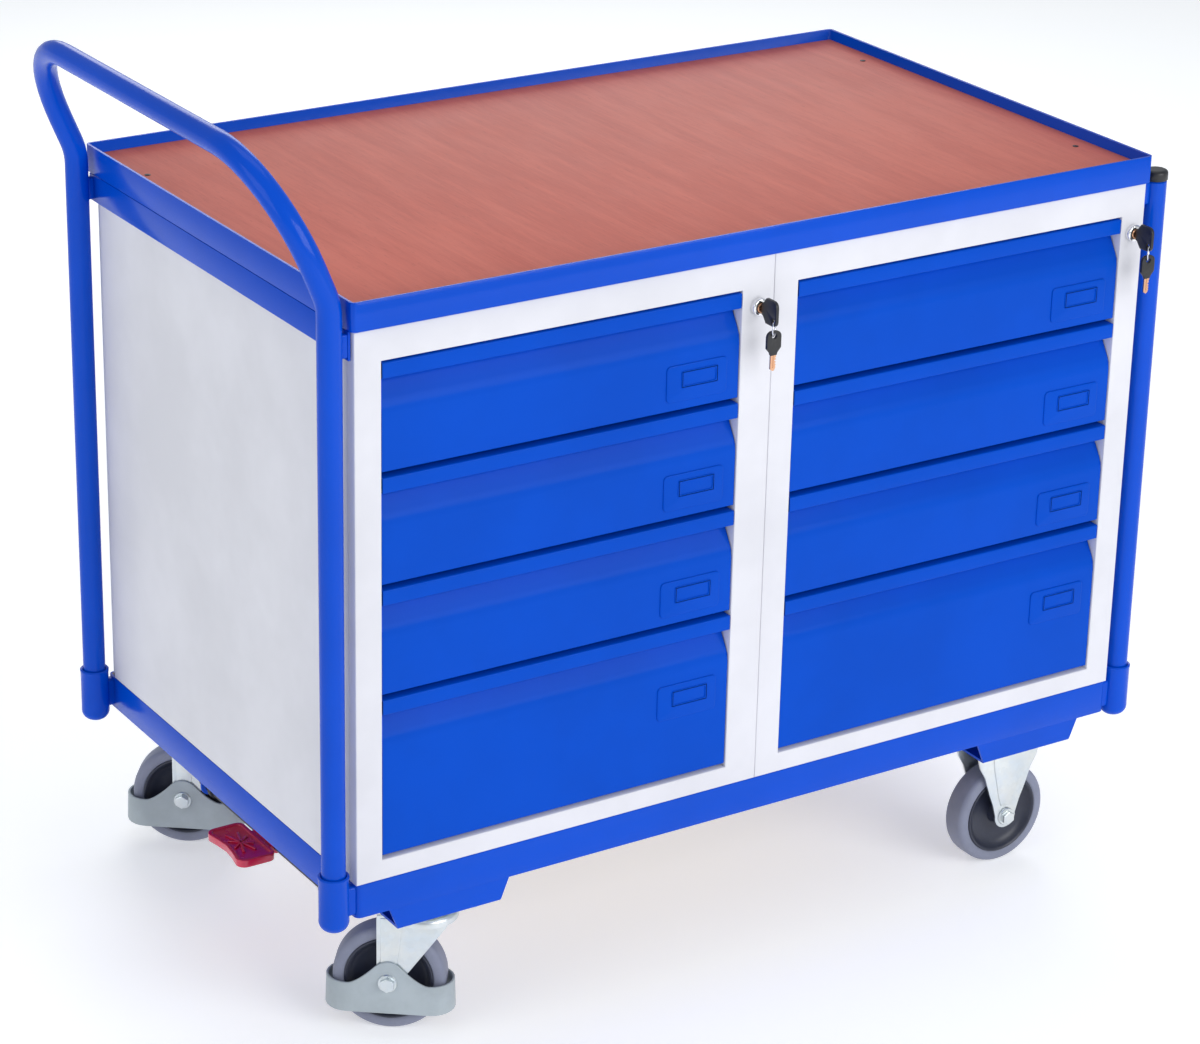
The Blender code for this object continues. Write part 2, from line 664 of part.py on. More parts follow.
def build_right_end(root):
    """The right end frame of two posts and a rail, and the posts' caps."""
    post_top = RIM_TOP - POST_TOP_BELOW_RIM
    bar, tabs = end_rail(1)
    frame = add_part("end_frame_right", bar, BLUE, root)
    for side_y, tab in zip((-1, 1), tabs):
        combine(frame, tab, "UNION")
        post = cylinder(TUBE_RADIUS, POST_BOTTOM, post_top, centre=(POST_X, side_y * POST_Y, 0))
        combine(frame, post, "UNION")
    for side_y, name in ((-1, "post_cap_front"), (1, "post_cap_rear")):
        radius = TUBE_RADIUS + 0.6 * MM
        profile = [
            (0, CAP_THICKNESS),
            (radius - 2.5 * MM, CAP_THICKNESS),
            (radius, CAP_THICKNESS - 2.5 * MM),
            (radius, 0),
            (0, 0),
        ]
        place = (POST_X, side_y * POST_Y, post_top + GAP)
        add_part(name, turned(profile, 16), BLACK, root, place)


def build_end_panels(root):
    """The sheet that closes each end between the base frame and the end rail."""
    for side_x, name in ((-1, "end_panel_left"), (1, "end_panel_right")):
        outer = side_x * CABINET_OUTER_X
        low_x, high_x = sorted((outer, outer - side_x * END_PANEL_THICKNESS))
        y_front = FACE_Y + FACE_RETURN + GAP
        y_back = FACE_Y + CABINET_DEPTH - FACE_RETURN
        panel = box((low_x, y_front, CABINET_BOTTOM), (high_x, y_back, CABINET_TOP))
        add_part(name, panel, WHITE, root)


def build_tray(root):
    """The angle frame round the top and the board let into it."""
    angle_ring(
        "tray_frame", BLUE, root, TRAY_LENGTH, TRAY_WIDTH, TRAY_BOTTOM, RIM_TOP, TRAY_BOTTOM, TRAY_LEDGE_WIDTH
    )
    x = TRAY_LENGTH / 2 - FRAME_SHEET - GAP
    y = TRAY_WIDTH / 2 - FRAME_SHEET - GAP
    low = TRAY_BOTTOM + FRAME_SHEET + GAP
    add_part("work_top", box((-x, -y, low), (x, y, low + WORK_TOP_THICKNESS)), BEECH, root)


# ---------------------------------------------------------------- cabinets


class CabinetPlan:
    """Where one cabinet's walls, opening, runners and lock stand."""

    def __init__(self, index):
        self.name = CABINET_NAMES[index]
        self.outer_side = -1 if index == 0 else 1
        edges = sorted((self.outer_side * CABINET_OUTER_X, self.outer_side * GAP / 2))
        self.left, self.right = edges
        self.body_left = self.left + (BODY_INSET if index == 0 else 0)
        self.body_right = self.right - (BODY_INSET if index == 1 else 0)
        self.opening_left = self.left + HINGE_STILE
        self.opening_right = self.right - LOCK_STILES[index]
        self.lock_x = self.right - LOCK_STILES[index] / 2
        self.opening_width = self.opening_right - self.opening_left
        self.opening_centre = (self.opening_right + self.opening_left) / 2

    def drawers(self):
        """Each drawer's number, the level of its front's foot, and its front's height, top down."""
        top = OPENING_TOP - FRONT_TOP_GAP
        found = []
        for number in range(1, SHALLOW_DRAWERS + 2):
            deep = number > SHALLOW_DRAWERS
            height = DEEP_FRONT_HEIGHT if deep else SHALLOW_FRONT_HEIGHT
            found.append((number, top - height, height))
            top -= height + FRONT_GAP
        return found

    def runner_level(self, foot, height):
        """The middle of a drawer's runner."""
        return foot + height - BOX_TOP_BELOW_FRONT - RUNNER_BELOW_BOX_TOP


def build_carcass(plan, root):
    """A sheet steel shell with a face frame round the drawer opening."""
    sheet = CABINET_SHEET
    back = FACE_Y + CABINET_DEPTH
    body = box((plan.body_left, FACE_Y, CABINET_BOTTOM), (plan.body_right, back, CABINET_TOP))
    carcass = add_part("carcass_" + plan.name, body, WHITE, root)
    edge = plan.left if plan.outer_side < 0 else plan.right
    low_x, high_x = sorted((edge, edge - plan.outer_side * (BODY_INSET + 2 * sheet)))
    flange = box((low_x, FACE_Y, CABINET_BOTTOM), (high_x, FACE_Y + FACE_RETURN, CABINET_TOP))
    combine(carcass, flange, "UNION")
    cavity = box(
        (plan.body_left + sheet, FACE_Y + sheet, CABINET_BOTTOM + sheet),
        (plan.body_right - sheet, back - sheet, CABINET_TOP - sheet),
    )
    combine(carcass, cavity, "DIFFERENCE")
    low_x, high_x = sorted((edge - plan.outer_side * sheet, edge - plan.outer_side * (BODY_INSET + 3 * sheet)))
    flange_hollow = box(
        (low_x, FACE_Y + sheet, CABINET_BOTTOM + sheet),
        (high_x, FACE_Y + FACE_RETURN - sheet, CABINET_TOP - sheet),
    )
    combine(carcass, flange_hollow, "DIFFERENCE")
    sleeve = box(
        (plan.opening_left - sheet, FACE_Y + sheet / 2, OPENING_BOTTOM - sheet),
        (plan.opening_right + sheet, FACE_Y + OPENING_RETURN, OPENING_TOP + sheet),
    )
    combine(carcass, sleeve, "UNION")
    opening = box(
        (plan.opening_left, FACE_Y - MM, OPENING_BOTTOM),
        (plan.opening_right, FACE_Y + OPENING_RETURN + MM, OPENING_TOP),
    )
    combine(carcass, opening, "DIFFERENCE")
    hole = cylinder(
        LOCK_BODY_RADIUS + GAP, FACE_Y - MM, FACE_Y + 3 * MM, "Y", (plan.lock_x, 0, LOCK_Z), sides=16
    )
    combine(carcass, hole, "DIFFERENCE")


def build_runners(plan, root):
    """The two ladders of one cabinet: a channel for each drawer on two uprights."""
    start = FACE_Y + RUNNER_START
    end = start + RUNNER_LENGTH
    sheet = RUNNER_SHEET
    half = RUNNER_HEIGHT / 2
    for side, name in zip((-1, 1), SIDE_NAMES):
        edge = plan.opening_left if side < 0 else plan.opening_right
        wall = plan.body_left + CABINET_SHEET if side < 0 else plan.body_right - CABINET_SHEET
        box_side = edge - side * BOX_SIDE_INSET
        ladder = None
        for _, foot, height in plan.drawers():
            level = plan.runner_level(foot, height)
            web_low, web_high = sorted((edge, box_side + side * RUNNING))
            channel = box((web_low, start, level - half), (web_high, end, level + half))
            if ladder is None:
                ladder = add_part(f"runners_{plan.name}_{name}", channel, ZINC, root)
            else:
                combine(ladder, channel, "UNION")
            groove_low, groove_high = sorted((edge - side * sheet, box_side - side * MM))
            groove = box((groove_low, start - MM, level - half + sheet),
                         (groove_high, end + MM, level + half - sheet))
            combine(ladder, groove, "DIFFERENCE")
        low_x, high_x = sorted((edge - side * sheet / 2, wall - side * GAP))
        for upright_y in (start + UPRIGHT_FROM_ENDS[0], end - UPRIGHT_FROM_ENDS[1]):
            upright = box(
                (low_x, upright_y, CABINET_BOTTOM + CABINET_SHEET + GAP),
                (high_x, upright_y + UPRIGHT_THICKNESS, CABINET_TOP - CABINET_SHEET - GAP),
            )
            combine(ladder, upright, "UNION")


def front_skin(width, height):
    """The folded face of a drawer front as an open sheet, its foot at z = 0 and its lip at y = 0."""
    lip_foot = height - LIP_HEIGHT
    profile = [
        (SCOOP_DEPTH - 2 * MM, height),
        (0, height),
        (0, lip_foot),
        (SCOOP_DEPTH, lip_foot - 2 * MM),
        (PANEL_RECESS, lip_foot - SCOOP_HEIGHT),
        (PANEL_RECESS, 0),
        (SCOOP_DEPTH, 0),
    ]
    bm = bmesh.new()
    edge = [bm.verts.new((-width / 2, y, z)) for y, z in profile]
    lines = [bm.edges.new((a, b)) for a, b in zip(edge, edge[1:])]
    made = bmesh.ops.extrude_edge_only(bm, edges=lines)["geom"]
    moved = [item for item in made if isinstance(item, bmesh.types.BMVert)]
    bmesh.ops.translate(bm, verts=moved, vec=(width, 0, 0))
    for face in bm.faces:
        face.normal_update()
    steep = max(bm.faces, key=lambda face: face.calc_area())
    if steep.normal.y > 0:
        bmesh.ops.reverse_faces(bm, faces=bm.faces[:])
    mesh = bpy.data.meshes.new("front_skin")
    bm.to_mesh(mesh)
    bm.free()
    return mesh


def build_drawer(plan, number, foot, height, root):
    """One drawer: its front with a label holder, and the box that runs in the ladders."""
    width = plan.opening_width - 2 * FRONT_SIDE_GAP
    origin = (plan.opening_centre, FACE_Y, foot)
    holder = add_empty(f"drawer_{plan.name}_{number}_place", origin, root)
    front = add_part(f"drawer_front_{plan.name}_{number}", front_skin(width, height), BLUE, holder)
    solidify = front.modifiers.new("sheet", "SOLIDIFY")
    solidify.thickness = FRONT_SHEET
    solidify.offset = -1
    solidify.use_even_offset = True
    label_x = width / 2 + FRONT_SIDE_GAP - LABEL_FROM_EDGE - LABEL_WIDTH / 2
    label_z = height - LABEL_BELOW_TOP - LABEL_HEIGHT / 2
    plate = outline(
        [(u + label_x, v + label_z) for u, v in rounded_rectangle(LABEL_WIDTH, LABEL_HEIGHT, 4 * MM, 2)],
        PANEL_RECESS - LABEL_RAISE,
        PANEL_RECESS + FRONT_SHEET / 2,
    )
    combine(front, plate, "UNION")
    shape = rounded_rectangle(LABEL_WINDOW_WIDTH, LABEL_WINDOW_HEIGHT, 4 * MM, 2)
    window = outline(
        [(u + label_x + 2 * MM, v + label_z) for u, v in shape],
        PANEL_RECESS - LABEL_RAISE - MM,
        PANEL_RECESS - 0.2 * MM,
    )
    combine(front, window, "DIFFERENCE")

    half = plan.opening_width / 2 - BOX_SIDE_INSET
    front_y = BOX_FRONT_Y - FACE_Y
    low, high = BOX_ABOVE_FRONT_FOOT, height - BOX_TOP_BELOW_FRONT
    tub = box((-half, front_y, low), (half, front_y + BOX_DEPTH, high))
    drawer_box = add_part(f"drawer_box_{plan.name}_{number}", tub, BLUE, holder)
    hollow = box(
        (-half + BOX_SHEET, front_y + BOX_SHEET, low + BOX_SHEET),
        (half - BOX_SHEET, front_y + BOX_DEPTH - BOX_SHEET, high + MM),
    )
    combine(drawer_box, hollow, "DIFFERENCE")
    level = plan.runner_level(foot, height) - foot
    half_strip = RUNNER_HEIGHT / 2 - RUNNER_SHEET - RUNNING
    strip_out = half + BOX_SIDE_INSET - RUNNER_SHEET - RUNNING
    start_y, end_y = front_y + 4 * MM, front_y + BOX_DEPTH
    for side in (-1, 1):
        low_x, high_x = sorted((side * (half - BOX_SHEET / 2), side * strip_out))
        strip = box((low_x, start_y, level - half_strip), (high_x, end_y, level + half_strip))
        combine(drawer_box, strip, "UNION")


# ---------------------------------------------------------------- locks and keys


def key_outline(bow_width, bow_length):
    """A key's bow from its neck outward: u runs out from the lock, v across."""
    half, corner = bow_width / 2, 6 * MM
    return (
        [(0, -half * 0.45), (bow_length * 0.22, -half)]
        + arc((bow_length - corner, -half + corner), corner, -90, 0, 3)
        + arc((bow_length - corner, half - corner), corner, 0, 90, 3)
        + [(bow_length * 0.22, half), (0, half * 0.45)]
    )


def blade_outline(length, start):
    """A key blade with cuts along one edge, running back from start."""
    half = KEY_BLADE_WIDTH / 2
    points = [(start, -half), (start, half)]
    cuts = 5
    step = length * 0.8 / cuts
    for cut in range(cuts):
        u = start - length * 0.12 - cut * step
        points += [(u, half), (u - step / 2, half - (1.2 + 0.5 * (cut % 2)) * MM)]
    tip = start - length
    points += [(tip + 1.5 * MM, half - 1 * MM), (tip, 0), (tip + 2 * MM, -half)]
    return points


def build_lock(plan, root):
    """A cylinder lock with its plug and cam, the key in it, and the spare key on its ring."""
    place = (plan.lock_x, 0, LOCK_Z)
    holder = add_empty(f"lock_{plan.name}_place", place, root)
    flange = cylinder(LOCK_FLANGE_RADIUS, FACE_Y - LOCK_FLANGE_THICKNESS, FACE_Y - GAP, "Y", sides=20)
    lock = add_part(f"lock_cylinder_{plan.name}", flange, CHROME, holder)
    body = cylinder(LOCK_BODY_RADIUS, FACE_Y - MM, FACE_Y + LOCK_BODY_DEPTH, "Y", sides=16)
    combine(lock, body, "UNION")
    bore = cylinder(PLUG_RADIUS + GAP, FACE_Y - 20 * MM, FACE_Y + LOCK_BODY_DEPTH + MM, "Y", sides=16)
    combine(lock, bore, "DIFFERENCE")

    cam_start = FACE_Y + LOCK_BODY_DEPTH + GAP
    plug_face = FACE_Y - LOCK_FLANGE_THICKNESS - PLUG_PROUD
    barrel = cylinder(PLUG_RADIUS, plug_face, cam_start + CAM_THICKNESS, "Y", sides=16)
    plug = add_part(f"lock_plug_{plan.name}", barrel, BRASS, holder)
    cam = box((-CAM_WIDTH / 2, cam_start, -CAM_WIDTH / 2),
              (CAM_WIDTH / 2, cam_start + CAM_THICKNESS, CAM_LENGTH))
    combine(plug, cam, "UNION")
    slot_half = KEY_SHEET / 2 + GAP
    slot = box(
        (-slot_half, FACE_Y - 20 * MM, -KEY_BLADE_WIDTH / 2 - GAP),
        (slot_half, KEY_FACE_Y + KEY_BLADE_LENGTH + 2 * MM, KEY_BLADE_WIDTH / 2 + GAP),
    )
    combine(plug, slot, "DIFFERENCE")

    neck_y = KEY_FACE_Y - MM
    bow = [(neck_y - u, v) for u, v in key_outline(KEY_BOW_WIDTH, KEY_BOW)]
    key = add_part(
        f"key_{plan.name}", outline(bow, -KEY_BOW_THICKNESS / 2, KEY_BOW_THICKNESS / 2, "YZ"), BLACK, holder
    )
    blade = [(-u, v) for u, v in blade_outline(KEY_BLADE_LENGTH, -neck_y + 4 * MM)]
    combine(key, outline(blade, -KEY_SHEET / 2, KEY_SHEET / 2, "YZ"), "UNION")
    hole = cylinder(
        KEY_HOLE_RADIUS, -5 * MM, 5 * MM, "X", (0, KEY_HOLE_Y, -KEY_HOLE_DROP), sides=12
    )
    combine(key, hole, "DIFFERENCE")
    build_spare_key(plan, root)


def build_spare_key(plan, root):
    """The split ring through the key's bow and the spare key that hangs from it."""
    holder = add_empty(f"spare_{plan.name}_place", (plan.lock_x, KEY_HOLE_Y, KEY_HOLE_Z), root)
    ring_points = []
    ring_steps = 16
    for step in range(ring_steps):
        angle = 2 * math.pi * step / ring_steps
        across = RING_RADIUS * math.sin(angle)
        drop = RING_RADIUS * math.cos(angle) - RING_RADIUS
        ring_points.append((across * math.cos(RING_TURN), across * math.sin(RING_TURN), drop))
    ring = tube(ring_points, RING_WIRE, 1, closed=True)
    add_part(f"key_ring_{plan.name}", ring, CHROME, holder)
    top = -2 * RING_RADIUS + KEY_HOLE_INSET
    bow = [(v, top - (KEY_BOW - u)) for u, v in key_outline(SPARE_BOW_WIDTH, KEY_BOW)]
    spare = add_part(
        f"spare_key_{plan.name}", outline(bow, -KEY_BOW_THICKNESS / 2, KEY_BOW_THICKNESS / 2), BLACK, holder
    )
    neck = top - KEY_BOW + 4 * MM
    blade = [(v, u) for u, v in blade_outline(KEY_BLADE_LENGTH, neck)]
    combine(spare, outline(blade, -KEY_SHEET / 2, KEY_SHEET / 2), "UNION")
    hole = cylinder(KEY_HOLE_RADIUS, -5 * MM, 5 * MM, "Y", (0, 0, -2 * RING_RADIUS), sides=12)
    combine(spare, hole, "DIFFERENCE")


# ---------------------------------------------------------------- casters


def wheel_mesh():
    """A wheel with a recessed hub face and a boss, about Y, with a flat facing down."""
    half, boss = WHEEL_WIDTH / 2, WHEEL_BOSS_WIDTH / 2
    shoulder = WHEEL_RADIUS - 5 * MM
    bore = AXLE_RADIUS + 0.1 * MM
    recess = half - HUB_RECESS
    profile = [
        (bore, boss),
        (WHEEL_BOSS_RADIUS, boss),
        (WHEEL_BOSS_RADIUS, recess),
        (HUB_RADIUS, recess),
        (HUB_RADIUS + 1 * MM, half),
        (shoulder, half),
        (WHEEL_RADIUS, half - 5 * MM),
        (WHEEL_RADIUS, -half + 5 * MM),
        (shoulder, -half),
        (HUB_RADIUS + 1 * MM, -half),
        (HUB_RADIUS, -recess),
        (WHEEL_BOSS_RADIUS, -recess),
        (WHEEL_BOSS_RADIUS, -boss),
        (bore, -boss),
    ]
    # The faceted tread's flats, not its corners, reach the full radius.
    grow = 1 / math.cos(math.pi / WHEEL_SIDES)
    profile = [(radius * grow if radius > shoulder else radius, height) for radius, height in profile]
    mesh = turned(profile, WHEEL_SIDES, "Y")
    return mesh


def add_axle(name, holder, place, half_length):
    """A bolt through fork and wheel, with a head at one end and a nut at the other."""
    reach = half_length + AXLE_HEAD_THICKNESS / 2
    axle = add_part(name, cylinder(AXLE_RADIUS, -reach, reach, "Y", sides=16), ZINC, holder, place)
    for side in (-1, 1):
        low, high = sorted((side * half_length, side * (half_length + AXLE_HEAD_THICKNESS)))
        combine(axle, cylinder(AXLE_HEAD_RADIUS, low, high, "Y", sides=6), "UNION", place)


def add_legs(fork, leg_profile, hole_x):
    """The two side plates of a fork, with a hole for the axle."""
    for side in (-1, 1):
        low, high = sorted((side * FORK_INNER, side * (FORK_INNER + FORK_SHEET)))
        combine(fork, outline(leg_profile, low, high), "UNION")
    reach = FORK_INNER + 2 * FORK_SHEET
    hole = cylinder(AXLE_RADIUS + GAP, -reach, reach, "Y", (hole_x, 0, WHEEL_RADIUS), sides=16)
    combine(fork, hole, "DIFFERENCE")


def build_swivel_caster(name, side_y, root):
    """A swivel caster: head plate with its race, fork, wheel, axle and foot guard."""
    place = (-CASTER_X, side_y * CASTER_Y, 0)
    holder = add_empty(f"{name}_swivel", place, root)
    plate_low = CASTER_HEIGHT - CASTER_PLATE_THICKNESS
    head = add_part(
        f"{name}_head",
        box((-CASTER_PLATE_LENGTH / 2, -CASTER_PLATE_WIDTH / 2, plate_low),
            (CASTER_PLATE_LENGTH / 2, CASTER_PLATE_WIDTH / 2, CASTER_HEIGHT)),
        ZINC,
        holder,
    )
    race_low = plate_low - RACE_HEIGHT
    race = cylinder(RACE_RADIUS, race_low, plate_low + MM, sides=24, radius_end=RACE_RADIUS + 6 * MM)
    combine(head, race, "UNION")

    turn = add_empty(f"{name}_heading", (0, 0, 0), holder, SWIVEL_HEADING)
    crown_top = race_low - GAP
    crown_low = crown_top - FORK_SHEET
    fork = add_part(
        f"{name}_fork", cylinder(FORK_CROWN_RADIUS, crown_low, crown_top, sides=24), ZINC, turn
    )
    foot = FORK_FOOT_RADIUS
    axle_x = -SWIVEL_TRAIL
    overlap = crown_low + FORK_SHEET / 2
    shoulder = crown_low - 9 * MM
    leg = [(axle_x - foot, shoulder), (axle_x - foot + 16 * MM, overlap)]
    leg += [(FORK_TOP_REACH - 4 * MM, overlap), (FORK_TOP_REACH, shoulder)]
    leg += arc((axle_x, WHEEL_RADIUS), foot, -10, -180, 6)
    add_legs(fork, leg[::-1], axle_x)

    add_part(f"{name}_wheel", wheel_mesh(), TREAD, turn, (axle_x, 0, WHEEL_RADIUS))
    add_axle(f"{name}_axle", turn, (axle_x, 0, WHEEL_RADIUS), GUARD_HALF_WIDTH + GAP)
    build_guard(name, turn, axle_x)


def stadium(length, half_width, steps=8):
    """An outline with two straight sides and two round ends."""
    reach = length / 2 - half_width
    return arc((reach, 0), half_width, -90, 90, steps) + arc((-reach, 0), half_width, 90, 270, steps)


def build_guard(name, turn, axle_x):
    """The oval foot guard round a swivel wheel, rising to the bolt at each side."""
    outer_half = GUARD_HALF_WIDTH
    place = (axle_x, 0, 0)
    ring = outline(stadium(GUARD_LENGTH, outer_half), GUARD_BOTTOM, GUARD_HUMP_TOP, "XY")
    guard = add_part(f"{name}_foot_guard", ring, GUARD, turn, place)
    inside = outline(
        stadium(GUARD_LENGTH - 2 * GUARD_WALL, GUARD_INNER), GUARD_BOTTOM - MM, GUARD_HUMP_TOP + MM, "XY"
    )
    combine(guard, inside, "DIFFERENCE", place)
    hole = cylinder(
        AXLE_RADIUS + GAP, -outer_half - 5 * MM, outer_half + 5 * MM, "Y", (0, 0, WHEEL_RADIUS), sides=16
    )
    combine(guard, hole, "DIFFERENCE", place)
    half, hump = GUARD_LENGTH / 2 + MM, 22 * MM
    side_view = (
        [(-half, GUARD_BOTTOM - MM), (half, GUARD_BOTTOM - MM), (half, GUARD_TOP)]
        + arc((46 * MM, GUARD_TOP + 18 * MM), 18 * MM, 270, 200, 3)
        + arc((0, GUARD_HUMP_TOP - hump), hump, 20, 160, 6)
        + arc((-46 * MM, GUARD_TOP + 18 * MM), 18 * MM, -20, -90, 3)
        + [(-half, GUARD_TOP)]
    )
    combine(guard, outline(side_view, -outer_half - MM, outer_half + MM), "INTERSECT", place)


def build_fixed_caster(name, side_y, root):
    """A fixed caster: fork with its plate, wheel and axle."""
    holder = add_empty(f"{name}_place", (CASTER_X, side_y * CASTER_Y, 0), root)
    plate_low = CASTER_HEIGHT - FORK_SHEET
    fork = add_part(
        f"{name}_fork",
        box((-CASTER_PLATE_LENGTH / 2, -CASTER_PLATE_WIDTH / 2, plate_low),
            (CASTER_PLATE_LENGTH / 2, CASTER_PLATE_WIDTH / 2, CASTER_HEIGHT)),
        ZINC,
        holder,
    )
    half_top, foot = FIXED_FORK_TOP_LENGTH / 2, FORK_FOOT_RADIUS + 2 * MM
    leg = [(-half_top, CASTER_HEIGHT - 22 * MM), (-half_top, plate_low + MM), (half_top, plate_low + MM),
           (half_top, CASTER_HEIGHT - 22 * MM)] + arc((0, WHEEL_RADIUS), foot, -20, -160, 6)
    add_legs(fork, leg[::-1], 0)
    add_part(f"{name}_wheel", wheel_mesh(), TREAD, holder, (0, 0, WHEEL_RADIUS))
    add_axle(f"{name}_axle", holder, (0, 0, WHEEL_RADIUS), GUARD_INNER)


# ---------------------------------------------------------------- brake


def build_brake(root):
    """The shaft across the left end and the pedal that turns it."""
    holder = add_empty("brake_place", (BRAKE_X, 0, BRAKE_Z), root)
    half = BRAKE_SHAFT_LENGTH / 2
    add_part("brake_shaft", cylinder(BRAKE_SHAFT_RADIUS, -half, half, "Y", sides=16), DARK_STEEL, holder)
    corner = 7 * MM
    shape = rounded_rectangle(PEDAL_LENGTH, PEDAL_WIDTH, corner, 3)
    centre_x = -PEDAL_REACH + PEDAL_LENGTH / 2
    half_plate = PEDAL_THICKNESS / 2
    plate = outline([(u + centre_x, v) for u, v in shape], -half_plate, half_plate, "XY")
    pedal = add_part("brake_pedal", plate, RED, holder)
    half_hub = PEDAL_HUB_WIDTH / 2
    neck = box((centre_x, -half_hub, -half_plate + MM), (0, half_hub, half_plate - MM))
    combine(pedal, neck, "UNION")
    combine(pedal, cylinder(PEDAL_HUB_RADIUS, -half_hub, half_hub, "Y", sides=16), "UNION")
    combine(pedal, cylinder(BRAKE_SHAFT_RADIUS + GAP, -half, half, "Y", sides=16), "DIFFERENCE")


# ---------------------------------------------------------------- the whole object


def shade(obj):
    """Smooths a piece's round faces and keeps its corners sharp."""
    obj.data.shade_smooth()
    obj.data.set_sharp_from_angle(angle=math.radians(35))


def main():
    """Builds every piece under one parent, centred on the object's bounding box."""
    root = add_empty("workbench", CENTRE_SHIFT)
    build_base_frame(root)
    build_base_board(root)
    build_handle(root)
    build_right_end(root)
    build_end_panels(root)
    build_tray(root)
    for index in range(len(CABINET_NAMES)):
        plan = CabinetPlan(index)
        build_carcass(plan, root)
        build_runners(plan, root)
        for number, foot, height in plan.drawers():
            build_drawer(plan, number, foot, height, root)
        build_lock(plan, root)
    for side_y, end in ((-1, "front"), (1, "rear")):
        build_swivel_caster(f"swivel_{end}", side_y, root)
        build_fixed_caster(f"fixed_{end}", side_y, root)
    build_brake(root)
    for obj in PARTS.objects:
        if obj.type == "MESH":
            shade(obj)


main()
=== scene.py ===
"""The looks of a mobile workbench: a rimmed board top on a blue tube and angle frame, two white
cabinets of blue drawers with cylinder locks, zinc-plated casters with foot guards, and a brake pedal.

Metres throughout, +Z up, the drawers open towards -Y.
"""

import json
import logging
import math
from dataclasses import dataclass, field
from enum import Enum
from typing import Callable, Iterable, Optional, Sequence

import bmesh
import bpy
from mathutils import Euler, Matrix, Vector

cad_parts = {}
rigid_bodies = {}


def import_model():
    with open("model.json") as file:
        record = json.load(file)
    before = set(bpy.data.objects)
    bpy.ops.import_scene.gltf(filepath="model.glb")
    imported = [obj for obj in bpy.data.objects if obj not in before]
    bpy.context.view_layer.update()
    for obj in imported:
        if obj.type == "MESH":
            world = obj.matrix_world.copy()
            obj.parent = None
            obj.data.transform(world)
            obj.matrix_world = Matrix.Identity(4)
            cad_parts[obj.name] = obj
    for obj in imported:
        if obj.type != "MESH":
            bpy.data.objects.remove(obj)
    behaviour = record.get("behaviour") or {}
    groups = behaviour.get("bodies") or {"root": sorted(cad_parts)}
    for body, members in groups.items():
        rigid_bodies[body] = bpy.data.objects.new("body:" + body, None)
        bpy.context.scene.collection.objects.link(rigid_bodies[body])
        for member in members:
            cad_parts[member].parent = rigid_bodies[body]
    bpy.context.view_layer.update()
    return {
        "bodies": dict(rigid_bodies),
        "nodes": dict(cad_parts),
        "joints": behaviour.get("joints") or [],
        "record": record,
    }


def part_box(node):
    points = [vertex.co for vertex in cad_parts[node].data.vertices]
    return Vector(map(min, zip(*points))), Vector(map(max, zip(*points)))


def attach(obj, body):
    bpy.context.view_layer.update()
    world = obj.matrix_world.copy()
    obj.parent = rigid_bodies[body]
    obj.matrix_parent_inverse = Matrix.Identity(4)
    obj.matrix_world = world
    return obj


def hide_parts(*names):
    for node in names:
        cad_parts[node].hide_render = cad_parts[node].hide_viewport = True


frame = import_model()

MM = 0.001
SQUARE_ON = 0.9
LOG = logging.getLogger("workbench")
Point = Sequence[float]


class Axis(Enum):
    """A direction that a turned shape runs along."""

    X = (1.0, 0.0, 0.0)
    Y = (0.0, 1.0, 0.0)
    Z = (0.0, 0.0, 1.0)

    @property
    def along(self) -> Vector:
        """The axis as a vector."""
        return Vector(self.value)

    @property
    def across(self) -> Vector:
        """A direction square to the axis, in which a turned profile is drawn."""
        return Vector((0.0, 0.0, 1.0)) if self is not Axis.Z else Vector((1.0, 0.0, 0.0))


class Side(Enum):
    """The left or right end of the bench, or of a cabinet."""

    LEFT = -1
    RIGHT = 1

    @property
    def word(self) -> str:
        """The side's name in lower case."""
        return self.name.lower()


@dataclass(frozen=True)
class Box:
    """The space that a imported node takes."""

    low: Vector
    high: Vector

    @classmethod
    def of(cls, node: str) -> "Box":
        """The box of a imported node."""
        return cls(*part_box(node))

    @property
    def centre(self) -> Vector:
        """The middle of the box."""
        return (self.low + self.high) / 2

    @property
    def size(self) -> Vector:
        """The box's length on each axis."""
        return self.high - self.low

    def end(self, side: Side) -> float:
        """The box's left or right end on X."""
        return self.low.x if side is Side.LEFT else self.high.x


# ------------------------------------------------------------------ modelling by hand tools


def deselect_all() -> None:
    """Leaves edit mode and selects nothing."""
    if bpy.context.mode != "OBJECT":
        bpy.ops.object.mode_set(mode="OBJECT")
    bpy.ops.object.select_all(action="DESELECT")


